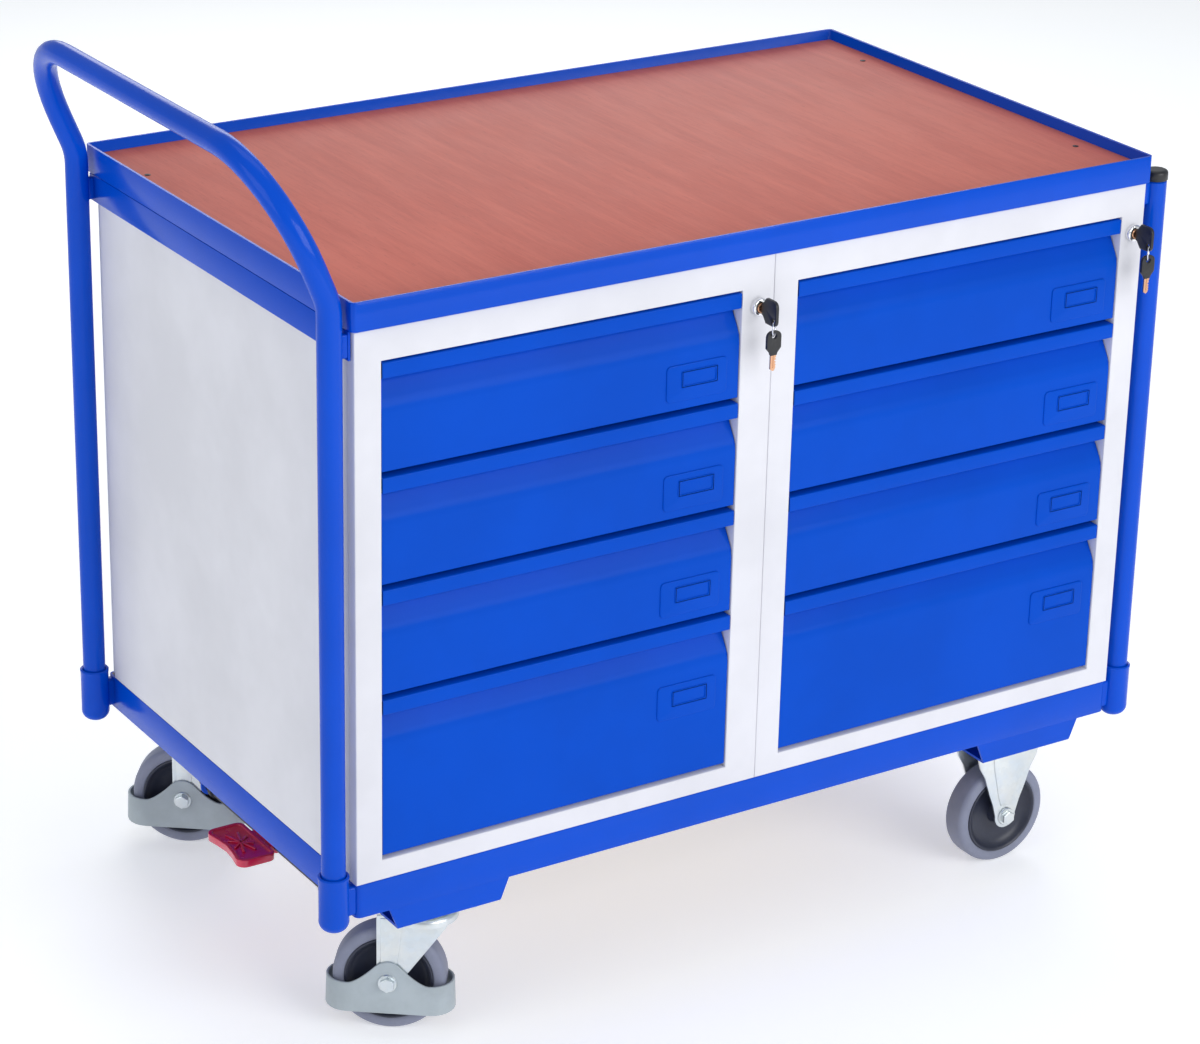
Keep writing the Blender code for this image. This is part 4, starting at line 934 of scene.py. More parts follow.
@dataclass
class TubeFrame:
    """The push handle, the right end's posts, their sockets, the end rails and the black caps."""

    radius: float = 13 * MM
    lean: float = math.radians(22.7)
    bend_radius: float = 70 * MM
    corner_radius: float = 114 * MM
    weld: float = 12 * MM
    rail: float = 3 * MM
    rail_height: float = 31 * MM
    socket_wall: float = 3.6 * MM
    handle: Box = field(default_factory=lambda: Box.of("push_handle"))
    right: Box = field(default_factory=lambda: Box.of("end_frame_right"))
    base: Box = field(default_factory=lambda: Box.of("base_frame"))
    tray: Box = field(default_factory=lambda: Box.of("tray_frame"))

    def __post_init__(self) -> None:
        """Works out where the posts stand."""
        self.centre = self.tray.centre
        self.post_x = self.right.high.x - self.radius - self.centre.x
        self.post_y = self.right.high.y - self.radius - self.centre.y
        self.rail_top = self.tray.low.z - 0.9 * MM

    def build(self) -> None:
        """Models and dresses every tube, rail, socket and cap."""
        dress(self.handle_form(), Finish.BLUE, "frame", ["push_handle"])
        dress(self.right_posts_form(), Finish.BLUE, "frame", ["end_frame_right"])
        for side in Side:
            dress(self.rail_form(side), Finish.BLUE, "frame")
        for name in ("post_cap_front", "post_cap_rear"):
            dress(self.cap_form(name), Finish.BLACK, "frame", [name])
        dress(self.sockets_form(), Finish.BLUE, "frame")

    def handle_form(self) -> Form:
        """One bent tube: up the front post, out, over and down the rear post."""
        left = self.centre.x - self.post_x
        front = self.centre.y - self.post_y
        bottom = self.handle.low.z
        top = self.handle.high.z - self.radius
        lean, bend = self.lean, self.bend_radius
        cut = bend * math.tan(lean / 2)
        reach = left - (self.handle.low.x + self.radius)
        bend_z = top - reach / math.tan(lean)
        out = Vector((-math.sin(lean), 0, math.cos(lean)))
        leg = reach / math.sin(lean)
        form = Form.bar("push_handle_tube", (left, front, bottom), self.radius, Axis.Z)
        start_z = bend_z - cut
        form.run((0, 0, start_z - bottom))
        form.turn((left - bend, front, start_z), (0, -1, 0), lean, 5)
        form.run(out * (leg - cut - self.corner_radius))
        knee = Vector((left, front, bend_z)) + out * (leg - self.corner_radius)
        normal = Vector((0, 1, 0)).cross(out)
        form.turn(knee + Vector((0, self.corner_radius, 0)), normal * -1, math.pi / 2, 12)
        form.run((0, 2 * (self.post_y - self.corner_radius), 0))
        far = knee + Vector((0, 2 * self.post_y - self.corner_radius, 0))
        form.turn(far, normal * -1, math.pi / 2, 12)
        form.run(out * -(leg - cut - self.corner_radius))
        form.turn((left - bend, front + 2 * self.post_y, start_z), (0, 1, 0), lean, 5)
        form.run((0, 0, bottom - start_z))
        return form.repair().smooth(50)

    def right_posts_form(self) -> Form:
        """Two straight posts with a turned-in top edge."""
        x = self.centre.x + self.post_x
        low, high = self.right.low.z, Box.of("post_cap_front").low.z - 0.3 * MM
        r = self.radius
        profile = [(0, low), (r - MM, low), (r, low + MM)]
        profile += [(r, high - 1.5 * MM), (r - 1.5 * MM, high), (0, high)]
        front = Form.turned("right_posts", profile, (x, self.centre.y - self.post_y, 0), Axis.Z, 24)
        front.smooth(40)
        return front.join([front.copy("right_post_rear", (0, 2 * self.post_y, 0))])

    def rail_form(self, side: Side) -> Form:
        """The flat rail under the tray's end, with a weld tab to each post."""
        outer = self.tray.end(side)
        inner = outer - side.value * self.rail
        low, high = self.rail_top - self.rail_height, self.rail_top
        reach = self.post_y + self.weld / 2
        xs = sorted((outer, inner))
        y = self.centre.y
        rail = Form.block(f"end_rail_{side.word}", (xs[0], y - reach, low), (xs[1], y + reach, high))
        rail.round_off(0.8 * MM, 2).smooth()
        post = self.centre.x + side.value * (self.post_x - self.radius + 2 * MM)
        tab_xs = sorted((outer - side.value * MM, post))
        tabs = []
        for depth in (-1, 1):
            middle = y + depth * self.post_y
            tab = Form.block(
                "weld_tab",
                (tab_xs[0], middle - self.weld / 2 + MM, low + 3 * MM),
                (tab_xs[1], middle + self.weld / 2 - MM, high - 3 * MM),
            )
            tabs.append(tab.round_off(1.6 * MM, 3).smooth())
        return rail.join(tabs)

    def cap_form(self, node: str) -> Form:
        """A black cap pushed into a post's end."""
        box = Box.of(node)
        r, low, high = box.size.x / 2, box.low.z, box.high.z
        profile = [(0, low), (r - 0.8 * MM, low), (r, low + 0.8 * MM)]
        profile += arc((r - 4 * MM, high - 4 * MM), 4 * MM, 0, 90, 5)
        profile += [(r * 0.45, high), (0, high)]
        place = (box.centre.x, box.centre.y, 0)
        return Form.turned(f"{node}_moulding", profile, place, Axis.Z, 32).smooth(50)

    def sockets_form(self) -> Form:
        """Four cups at the base's corners with a rolled rim, a round foot and a weld web."""
        base = self.base
        top = base.high.z
        low = base.high.z - 65 * MM
        outer = self.radius + self.socket_wall
        bore = self.radius + 0.4 * MM
        floor = low + 11.5 * MM
        profile = [(0, floor), (bore, floor), (bore, top - 0.8 * MM), (bore + 0.8 * MM, top)]
        profile += [(outer - 1.2 * MM, top + 0.2 * MM), (outer + 0.2 * MM, top - 1.0 * MM)]
        profile += [(outer + 0.2 * MM, top - 3 * MM)]
        profile += [(outer - 0.3 * MM, top - 4.2 * MM), (outer - 0.3 * MM, low + 15 * MM)]
        profile += [(u, v) for u, v in arc((outer - 12 * MM, low + 12 * MM), 11.9 * MM, 0, -90, 7)]
        profile += [(0, low)]
        x, y = self.centre.x, self.centre.y
        place = (x - self.post_x, y - self.post_y, 0)
        cup = Form.turned("corner_sockets", profile, place, Axis.Z, 32).smooth(40)
        rail = Box.of("base_board")
        web = Form.block(
            "corner_web",
            (x - self.post_x + self.radius * 0.6, y - self.post_y - self.weld / 2, rail.low.z - 20 * MM),
            (rail.low.x, y - self.post_y + self.weld / 2, rail.high.z - 2 * MM),
        )
        web.along(Axis.X).bevel(3.5 * MM, 3)
        cup.join([web.smooth()])
        twins = [cup.mirrored("socket_rear", Axis.Y, y)]
        cup.join(twins)
        return cup.join([cup.mirrored("sockets_right", Axis.X, x)])


# ------------------------------------------------------------------ base frame


@dataclass
class BaseFrame:
    """The welded rail round the foot, its cross bars, caster brackets, brake hangers and board."""

    wall: float = 3 * MM
    height: float = 39 * MM
    ledge: float = 35 * MM
    corner: float = 7 * MM
    bracket_length: float = 150 * MM
    bracket_depth: float = 100 * MM
    bracket_slant: float = 12 * MM
    set_back: float = 0.6 * MM
    bar_width: float = 60 * MM
    hanger_thickness: float = 3 * MM
    board: Box = field(default_factory=lambda: Box.of("base_board"))

    def __post_init__(self) -> None:
        """Works out the rail's box from the board that it holds."""
        margin = Vector((self.wall + 0.3 * MM, self.wall + 0.3 * MM, 0))
        self.top = self.board.high.z + 0.3 * MM
        self.low = Vector((*(self.board.low - margin).xy, self.top - self.height))
        self.high = Vector((*(self.board.high + margin).xy, self.top))
        self.centre = self.board.centre
        self.ledge_low = self.board.low.z - 0.3 * MM - self.wall

    def build(self) -> None:
        """Models and dresses the base."""
        dress(self.rail_form(), Finish.BLUE, "frame", ["base_frame"])
        dress(self.brackets_form(), Finish.BLUE, "frame")
        dress(self.bars_form(), Finish.BLUE, "frame")
        dress(self.hangers_form(), Finish.BLUE, "frame")
        dress_node("base_board", Finish.CHIPBOARD)

    def rail_form(self) -> Form:
        """The rail: an upright wall with a ledge inside it that carries the board."""
        form = Form.block("base_rail", self.low, self.high)
        form.facing(Axis.Z).inset(self.wall)
        form.extrude((0, 0, self.ledge_low + self.wall - self.top)).inset(self.ledge - self.wall)
        form.facing(Axis.Z, -1).inset(self.wall)
        form.extrude((0, 0, self.ledge_low - self.low.z)).inset(self.ledge - self.wall)
        form.faces(
            lambda middle, normal: abs(normal.z) > SQUARE_ON
            and (middle - self.centre).xy.length < MM
        )
        form.bridge()
        reach = self.high.x - self.centre.x
        form.edges(
            lambda middle, way: abs(way.z) > SQUARE_ON and reach - abs(middle.x - self.centre.x) < 0.1 * MM
        )
        form.bevel(self.corner, 4)
        return form.round_off(0.8 * MM, 2).smooth()

    def brackets_form(self) -> Form:
        """Four channels with slanted ends that carry the casters."""
        plate = Box.of("swivel_front_head")
        x, y = plate.centre.x, self.low.y + self.set_back
        bottom = plate.high.z + 0.3 * MM
        top = self.low.z + self.wall
        half, depth = self.bracket_length / 2, self.bracket_depth
        section = [(y, top), (y, bottom), (y + depth, bottom), (y + depth, self.ledge_low + self.wall / 2)]
        form = Form.line("caster_brackets", yz(section, x - half))
        bpy.ops.mesh.select_all(action="SELECT")
        form.extrude_edges((2 * half, 0, 0))
        for side in Side:
            edge = Vector((x + side.value * half, 0, top))
            rise = top - bottom
            normal = Vector((side.value * rise, 0, -self.bracket_slant)).normalized()
            form.slice(edge, normal, clear=True)
        form.edges(lambda middle, way: abs(way.x) > SQUARE_ON and abs(middle.z - bottom) < 0.1 * MM)
        form.bevel(3 * MM, 4)
        form.repair()
        self._face_out(form, Vector((x, y + depth / 2, bottom + 8 * MM)))
        form.thicken(self.wall).round_off(0.4 * MM, 1).smooth()
        rear = form.mirrored("bracket_rear", Axis.Y, self.centre.y)
        form.join([rear])
        return form.join([form.mirrored("brackets_right", Axis.X, self.centre.x)])

    @staticmethod
    def _face_out(form: Form, inside: Vector) -> None:
        """Turns an open sheet's faces so that they look away from a point inside it."""
        form.edit()
        mesh = bmesh.from_edit_mesh(form.obj.data)
        mesh.normal_update()
        away = sum(
            face.normal.dot(face.calc_center_median() - inside) * face.calc_area() for face in mesh.faces
        )
        if away < 0:
            bpy.ops.mesh.select_all(action="SELECT")
            bpy.ops.mesh.flip_normals()

    def bars_form(self) -> Form:
        """Flat bars across the underside at the casters."""
        plate = Box.of("swivel_front_head")
        reach = (self.high.y - self.low.y) / 2 - self.ledge + 5 * MM
        half = self.bar_width / 2
        x, y, z = plate.centre.x, self.centre.y, self.ledge_low - MM
        form = Form.block("cross_bars", (x - half, y - reach, z), (x + half, y + reach, z + self.wall))
        form.round_off(0.6 * MM, 2).smooth()
        return form.join([form.mirrored("cross_bar_right", Axis.X, self.centre.x)])

    def hangers_form(self) -> Form:
        """The two plates that carry the brake shaft, with a round lug each."""
        shaft = Box.of("brake_shaft")
        x, z = shaft.centre.x, shaft.centre.z
        left = self.low.x + self.wall / 2
        top = self.ledge_low + self.wall / 2
        lug = 11 * MM
        shape = [(left, top), (left, self.low.z + 2 * MM), (x - lug, z + 22 * MM)]
        shape += [(u, v) for u, v in arc((x, z), lug, 180, 360, 10)]
        shape += [(x + lug, top)]
        y = self.centre.y - 150 * MM
        form = Form.line("brake_hangers", xz(shape, y - self.hanger_thickness / 2), closed=True)
        form.extrude((0, self.hanger_thickness, 0)).repair()
        form.round_off(0.6 * MM, 2).smooth()
        return form.join([form.mirrored("hanger_rear", Axis.Y, self.centre.y)])


# ------------------------------------------------------------------ cabinets


@dataclass
class Cabinet:
    """One cabinet: its folded face frame, its body, its end panel and its drawer runners."""

    side: Side
    sheet: float = 1.2 * MM
    stiles: tuple[float, float] = (31 * MM, 31.5 * MM)
    rails: tuple[float, float] = (23 * MM, 35 * MM)
    face_return: float = 14 * MM
    opening_return: float = 22 * MM
    fold: float = 1.3 * MM

    def __post_init__(self) -> None:
        """Reads the cabinet's box and works out its opening."""
        self.name = self.side.word
        self.box = Box.of(f"carcass_{self.name}")
        self.panel = Box.of(f"end_panel_{self.name}")
        if self.side is Side.LEFT:
            self.stiles = (31 * MM, 40 * MM)
        low, high = self.box.low, self.box.high
        self.open_low = Vector((low.x + self.stiles[0], low.y, low.z + self.rails[0]))
        self.open_high = Vector((high.x - self.stiles[1], low.y, high.z - self.rails[1]))

    def build(self) -> None:
        """Models and dresses the cabinet."""
        dress(self.face_form(), Finish.WHITE, "frame", [f"carcass_{self.name}"])
        dress(self.body_form(), Finish.WHITE, "frame")
        dress(self.panel_form(), Finish.WHITE, "frame", [f"end_panel_{self.name}"])
        for side in Side:
            dress_node(f"runners_{self.name}_{side.word}", Finish.RUNNER_ZINC)

    def face_form(self) -> Form:
        """The face frame: one sheet with its outer edges and its opening folded back."""
        low, high = self.box.low, self.box.high
        a, b = self.open_low, self.open_high
        form = Form.sheet(f"cabinet_face_{self.name}", low, (high.x, low.y, high.z))
        for place, normal in ((a, (1, 0, 0)), (b, (1, 0, 0)), (a, (0, 0, 1)), (b, (0, 0, 1))):
            form.slice(place, normal)
        form.faces(lambda middle, normal: a.x < middle.x < b.x and a.z < middle.z < b.z).remove()
        near = 0.01 * MM

        def outer(middle: Vector, way: Vector) -> bool:
            """Whether an edge lies on the frame's outline."""
            on_x = min(abs(middle.x - low.x), abs(middle.x - high.x)) < near
            return on_x or min(abs(middle.z - low.z), abs(middle.z - high.z)) < near

        def inner(middle: Vector, way: Vector) -> bool:
            """Whether an edge lies on the opening's outline."""
            in_z = a.z - near < middle.z < b.z + near
            in_x = a.x - near < middle.x < b.x + near
            on_x = min(abs(middle.x - a.x), abs(middle.x - b.x)) < near
            on_z = min(abs(middle.z - a.z), abs(middle.z - b.z)) < near
            return (on_x and in_z) or (on_z and in_x)

        form.edges(outer).extrude_edges((0, self.face_return, 0))
        form.edges(lambda middle, way: inner(middle, way) and abs(middle.y - low.y) < near)
        form.extrude_edges((0, self.opening_return, 0))
        form.edges(
            lambda middle, way: abs(middle.y - low.y) < near and (outer(middle, way) or inner(middle, way))
        )
        form.bevel(self.fold, 3)
        self._face_front(form, low.y)
        hole = Box.of(f"lock_cylinder_{self.name}").centre
        form.thicken(self.sheet).smooth(50)
        cutter = Form.disc("lock_hole", (hole.x, low.y - 4 * MM, hole.z), 7.8 * MM, Axis.Y, 32)
        cutter.faces(lambda middle, normal: True).extrude((0, 10 * MM, 0))
        return form.cut(cutter.repair()).smooth(50)

    @staticmethod
    def _face_front(form: Form, face_y: float) -> None:
        """Makes the sheet's normals agree, with its face looking to -Y."""
        form.repair()
        mesh = bmesh.from_edit_mesh(form.obj.data)
        mesh.normal_update()
        on_face = [face for face in mesh.faces if abs(face.calc_center_median().y - face_y) < MM / 10]
        front = sum(face.normal.y * face.calc_area() for face in on_face)
        if front > 0:
            bpy.ops.mesh.select_all(action="SELECT")
            bpy.ops.mesh.flip_normals()

    def body_form(self) -> Form:
        """The cabinet's walls, open at the front, with a shallow pressed panel in the back."""
        low, high = self.box.low, self.box.high
        inset = self.panel.size.x + 0.3 * MM
        left = low.x + (inset if self.side is Side.LEFT else 0)
        right = high.x - (inset if self.side is Side.RIGHT else 0)
        front = low.y + self.sheet + 0.2 * MM
        lift = 0.2 * MM
        form = Form.block(
            f"cabinet_body_{self.name}",
            (left + lift, front, low.z + lift),
            (right - lift, high.y, high.z - lift),
        )
        form.facing(Axis.Y, -1).remove()
        form.facing(Axis.Y).inset(16 * MM).inset(4 * MM).move((0, -2.5 * MM, 0))
        half, mid = (right - left) / 2 - lift, (right + left) / 2
        form.edges(
            lambda middle, way: abs(way.z) > SQUARE_ON
            and middle.y > high.y - 0.1 * MM
            and abs(middle.x - mid) > half - 0.1 * MM
        )
        form.bevel(2.5 * MM, 3)
        form.thicken(self.sheet)
        return form.round_off(0.3 * MM, 1).smooth()

    def panel_form(self) -> Form:
        """The sheet that closes the bench's end."""
        form = Form.block(f"end_sheet_{self.name}", self.panel.low, self.panel.high)
        form.faces(lambda middle, normal: normal.x * self.side.value > SQUARE_ON).inset(3 * MM)
        return form.round_off(0.7 * MM, 2).smooth()


@dataclass
class Drawer:
    """One drawer: a folded front with a finger scoop and label holder, and its sheet box."""

    cabinet: str
    number: int
    sheet: float = 1.2 * MM
    lip: float = 17 * MM
    scoop_depth: float = 19 * MM
    scoop_height: float = 27 * MM
    recess: float = 2 * MM
    label_size: tuple[float, float] = (76 * MM, 41 * MM)
    label_place: tuple[float, float] = (16.5 * MM, 67 * MM)
    window_share: tuple[float, float] = (0.61, 0.475)
    window_rise: float = 3.8 * MM

    def __post_init__(self) -> None:
        """Reads the drawer's boxes."""
        self.body = f"drawer_{self.cabinet}_{self.number}"
        self.front = Box.of(f"drawer_front_{self.cabinet}_{self.number}")
        self.tub = Box.of(f"drawer_box_{self.cabinet}_{self.number}")

    def build(self, copies: Sequence["Drawer"] = ()) -> None:
        """Models this drawer, and dresses it and its copies lower down.

        Args:
            copies: The drawers of the same size below it.
        """
        front, tub = self.front_form(), self.tub_form()
        for drawer in copies:
            offset = drawer.front.low - self.front.low
            drawer.dress_both(front.copy("front_copy", offset), tub.copy("tub_copy", offset))
        self.dress_both(front, tub)

    def dress_both(self, front: Form, tub: Form) -> None:
        """Names and dresses a front and a box as this drawer's."""
        front.obj.name = f"front_{self.cabinet}_{self.number}"
        tub.obj.name = f"tub_{self.cabinet}_{self.number}"
        nodes = [f"drawer_front_{self.cabinet}_{self.number}"]
        dress(front, Finish.DRAWER_BLUE, self.body, nodes)
        dress(tub, Finish.DRAWER_BLUE, self.body, [f"drawer_box_{self.cabinet}_{self.number}"])

    def front_form(self) -> Form:
        """The front: a lip to pull by, a slanted scoop under it, a flat panel and folded flanges."""
        y, top, foot = self.front.low.y, self.front.high.z, self.front.low.z
        left, right = self.front.low.x, self.front.high.x
        panel = y + self.recess
        under = top - self.lip
        slant_foot = under - 3 * MM - self.scoop_height
        profile = [
            (y + self.scoop_depth - 3 * MM, top),
            (y, top),
            (y, under),
            (y + self.scoop_depth, under - 2.5 * MM),
            (panel, slant_foot),
            (panel, foot),
            (y + self.scoop_depth, foot),
        ]
        form = Form.line(f"drawer_front_form_{self.cabinet}", yz(profile, left))
        bpy.ops.mesh.select_all(action="SELECT")
        form.extrude_edges((right - left, 0, 0))
        near = 0.05 * MM

        folds = [(y, top), (y, under), (panel, foot)]
        form.edges(
            lambda middle, way: abs(way.x) > SQUARE_ON
            and any(abs(middle.y - u) < near and abs(middle.z - v) < near for u, v in folds)
        )
        form.bevel(1.6 * MM, 3)
        form.edges(
            lambda middle, way: abs(way.x) > SQUARE_ON
            and abs(middle.y - panel) < near
            and abs(middle.z - slant_foot) < near
        )
        form.bevel(9 * MM, 5)
        form.edges(
            lambda middle, way: abs(way.x) > SQUARE_ON and abs(middle.z - (under - 2.5 * MM)) < near
        )
        form.bevel(4 * MM, 4)
        Cabinet._face_front(form, panel)
        form.thicken(self.sheet).smooth(40)
        wall = self.sheet / 2
        end = [
            (panel + wall, foot + wall),
            (panel + wall, slant_foot),
            (y + self.scoop_depth - wall, under - 3 * MM),
            (y + self.scoop_depth - wall, foot + wall),
        ]
        flange = Form.line("front_flange", yz(end, left), closed=True)
        flange.extrude((self.sheet, 0, 0)).repair()
        flange.round_off(0.3 * MM, 2).smooth()
        other = flange.copy("front_flange_right", (right - left - self.sheet, 0, 0))
        return form.join([flange, other, self.label_form(panel, top, right)])

    def label_form(self, panel: float, top: float, right: float) -> Form:
        """The pressed label holder: a raised field with a framed window."""
        width, height = self.label_size
        edge, drop = right - self.label_place[0] + 1.2 * MM, top - self.label_place[1]
        form = Form.block(
            "label_holder",
            (edge - width, panel - 1.1 * MM, drop - height),
            (edge, panel + 0.4 * MM, drop),
        )
        form.along(Axis.Y).bevel(5 * MM, 4)
        form.facing(Axis.Y, -1).inset(1.6 * MM).move((0, -0.5 * MM, 0))
        form.round_off(0.4 * MM, 2, 30)
        middle = Vector((edge - width / 2 + 3 * MM, 0, drop - height / 2 + self.window_rise))
        half_w, half_h = width * self.window_share[0] / 2, height * self.window_share[1] / 2
        frame = Form.block(
            "label_window",
            (middle.x - half_w, panel - 2.6 * MM, middle.z - half_h),
            (middle.x + half_w, panel - MM, middle.z + half_h),
        )
        frame.facing(Axis.Y, -1).inset(2.6 * MM).extrude((0, 1.5 * MM, 0))
        frame.along(Axis.Y).bevel(2.4 * MM, 3)
        form.join([frame.round_off(0.45 * MM, 2, 40)])
        return form.smooth(50)

    def tub_form(self) -> Form:
        """The box: thin walls, a stiffened floor and a strip along each side."""
        low, high = self.tub.low.copy(), self.tub.high.copy()
        strip = 10 * MM
        left, right = low.x + strip, high.x - strip
        form = Form.block(f"drawer_tub_form_{self.cabinet}", (left, low.y, low.z), (right, high.y, high.z))
        form.facing(Axis.Z).remove()
        form.facing(Axis.Z, -1).inset(30 * MM).inset(3 * MM).move((0, 0, 1.2 * MM))
        form.along(Axis.Z).bevel(3 * MM, 3)
        form.thicken(1.0 * MM).smooth()
        level = high.z - 22 * MM
        strips = []
        for x in ((low.x, left + 0.5 * MM), (right - 0.5 * MM, high.x)):
            near = (x[0], low.y + 4 * MM, level - 5.5 * MM)
            rail = Form.block("tub_strip", near, (x[1], high.y, level + 5.5 * MM))
            strips.append(rail.round_off(1.2 * MM, 2).smooth())
        return form.join(strips)


# ------------------------------------------------------------------ locks and keys


@dataclass
class Lock:
    """A cylinder lock with the key in it and a spare key on a ring."""

    cabinet: str
    sides: int = 40

    def __post_init__(self) -> None:
        """Reads where the lock and its keys are."""
        self.cylinder = Box.of(f"lock_cylinder_{self.cabinet}")
        self.plug = Box.of(f"lock_plug_{self.cabinet}")
        self.key = Box.of(f"key_{self.cabinet}")
        self.spare = Box.of(f"spare_key_{self.cabinet}")
        self.pivot = Vector(joint(f"spare_{self.cabinet}_swing")["pos_m"])
        self.axis = Vector(joint(f"lock_{self.cabinet}_turn")["pos_m"])

    def build(
        self, like: Optional["Lock"] = None, forms: Optional[dict[str, Form]] = None
    ) -> dict[str, Form]:
        """Models the lock, or copies another's forms, and dresses it.

        Args:
            like: A lock of the same kind that is already modelled.
            forms: That lock's forms by name.

        Returns:
            This lock's forms by name.
        """
        if like is None or forms is None:
            forms = {
                "bezel": self.bezel_form(),
                "plug": self.plug_form(),
                "key_bow": self.bow_form(),
                "key_blade": self.blade_form(),
                "ring": self.ring_form(),
                "spare_bow": self.spare_bow_form(),
                "spare_blade": self.spare_blade_form(),
            }
        else:
            offset = self.axis - like.axis
            forms = {name: form.copy(name, offset) for name, form in forms.items()}
        for name, form in forms.items():
            form.obj.name = f"{name}_{self.cabinet}"
        c = self.cabinet
        dress(forms["bezel"], Finish.CHROME, "frame", [f"lock_cylinder_{c}"])
        dress(forms["plug"], Finish.BRASS, f"plug_{c}", [f"lock_plug_{c}"])
        dress(forms["key_bow"], Finish.BLACK, f"key_{c}_set", [f"key_{c}"])
        dress(forms["key_blade"], Finish.BRASS, f"key_{c}_set")
        dress(forms["ring"], Finish.CHROME, f"spare_{c}_set", [f"key_ring_{c}"])
        dress(forms["spare_bow"], Finish.BLACK, f"spare_{c}_set", [f"spare_key_{c}"])
        dress(forms["spare_blade"], Finish.BRASS, f"spare_{c}_set")
        return forms

    def bezel_form(self) -> Form:
        """The cylinder's flange and body, with a rolled edge and a bore."""
        face, back = self.cylinder.low.y, self.cylinder.high.y
        wall_y = Box.of(f"carcass_{self.cabinet}").low.y
        outer, body, bore = 10 * MM, 7.5 * MM, 5.8 * MM
        profile = [(bore, back), (bore, face + 0.8 * MM), (bore + 0.6 * MM, face)]
        profile += [(outer - 2.4 * MM, face), (outer - 1.6 * MM, face + 0.3 * MM)]
        profile += [(u, v) for u, v in arc((outer - 2.2 * MM, face + 2.4 * MM), 2.2 * MM, -60, 0, 4)]
        profile += [(outer, wall_y - 0.3 * MM), (body, wall_y - 0.3 * MM), (body, back), (bore, back)]
        centre = (self.axis.x, 0, self.axis.z)
        return Form.turned("bezel", profile, centre, Axis.Y, self.sides).smooth(35)

    def plug_form(self) -> Form:
        """The plug that turns, with its keyway and the cam behind it."""
        face = self.plug.low.y
        back = self.plug.high.y
        x, z = self.axis.x, self.axis.z
        r = 5.4 * MM
        profile = [(0, face), (r - 0.8 * MM, face), (r, face + 0.6 * MM), (r, back), (0, back)]
        form = Form.turned("plug", profile, (x, 0, z), Axis.Y, 32).smooth(35)
        near = (x - 1.2 * MM, face - MM, z - 3.9 * MM)
        slot = Form.block("keyway", near, (x + 1.2 * MM, face + 24 * MM, z + 3.9 * MM))
        form.cut(slot.repair()).smooth(35)
        near = (x - 4.5 * MM, back - 2 * MM, z - 4.5 * MM)
        cam = Form.block("cam", near, (x + 4.5 * MM, back, self.plug.high.z))
        cam.along(Axis.Y).bevel(3.5 * MM, 4)
        return form.join([cam.round_off(0.3 * MM, 1).smooth()])

    def _bow(self, name: str, width: float, length: float, thickness: float) -> Form:
        """A key's moulded bow standing in the XZ plane, its neck at the origin and its end at -Z."""
        half, corner = width / 2, 6.5 * MM
        shape = [(-half * 0.42, 0), (-half * 0.5, -length * 0.10), (-half, -length * 0.30)]
        shape += arc((-half + corner, -length + corner), corner, 180, 270, 5)
        shape += arc((half - corner, -length + corner), corner, 270, 360, 5)
        shape += [(half, -length * 0.30), (half * 0.5, -length * 0.10), (half * 0.42, 0)]
        form = Form.line(name, xz(shape, -thickness / 2), closed=True)
        form.extrude((0, thickness, 0)).repair()
        form.faces(lambda middle, normal: abs(normal.y) > SQUARE_ON).inset(2.2 * MM)
        form.stretch((1, 1.12, 1))
        return form

    def bow_form(self) -> Form:
        """The bow of the key in the lock, on edge, with its hole at the lower outer corner."""
        neck = self.plug.low.y - MM
        length = neck - self.key.low.y
        form = self._bow("key_bow", self.key.size.z, length, self.key.size.x)
        form.stand(((0, 1, 0), (0, 0, 1), (1, 0, 0)))
        form.place((self.axis.x, neck, self.axis.z))
        hole = Form.disc("bow_hole", (self.axis.x - 6 * MM, self.pivot.y, self.pivot.z), 3.3 * MM, Axis.X, 20)
        hole.faces(lambda middle, normal: True).extrude((12 * MM, 0, 0))
        return form.cut(hole.repair()).round_off(0.4 * MM, 2, 35).smooth(45)

    def _blade(self, name: str, length: float) -> Form:
        """A key's cut blade in the XZ plane, from its shoulder at the origin down to its tip."""
        half = 3.5 * MM
        shape = [(half, 4 * MM), (half, 0)]
        for step in range(int((length - 5 * MM) / (3 * MM))):
            drop = -(3.2 + 3.0 * step) * MM
            depth = (0.9 + 0.7 * ((step * 5) % 3)) * MM
            shape += [(half, drop + 1.1 * MM), (half - depth, drop), (half - depth * 0.2, drop - 1.2 * MM)]
        shape += [(half - 1.5 * MM, -length + 1.5 * MM), (0, -length)]
        shape += [(-half, -length + 2.5 * MM), (-half, 4 * MM)]
        form = Form.line(name, xz(shape, -0.9 * MM), closed=True)
        form.extrude((0, 1.8 * MM, 0)).repair()
        form.faces(lambda middle, normal: abs(normal.y) > SQUARE_ON).inset(0.4 * MM)
        groove = Form.block("groove", (-0.9 * MM, -1.2 * MM, -length + 4 * MM), (0.1 * MM, -0.5 * MM, 5 * MM))
        return form.cut(groove.repair())

    def blade_form(self) -> Form:
        """The blade in the lock."""
        neck = self.plug.low.y - MM
        form = self._blade("key_blade", 20 * MM)
        form.stand(((0, 1, 0), (0, 0, -1), (-1, 0, 0)))
        return form.place((self.axis.x, neck, self.axis.z)).smooth(30)

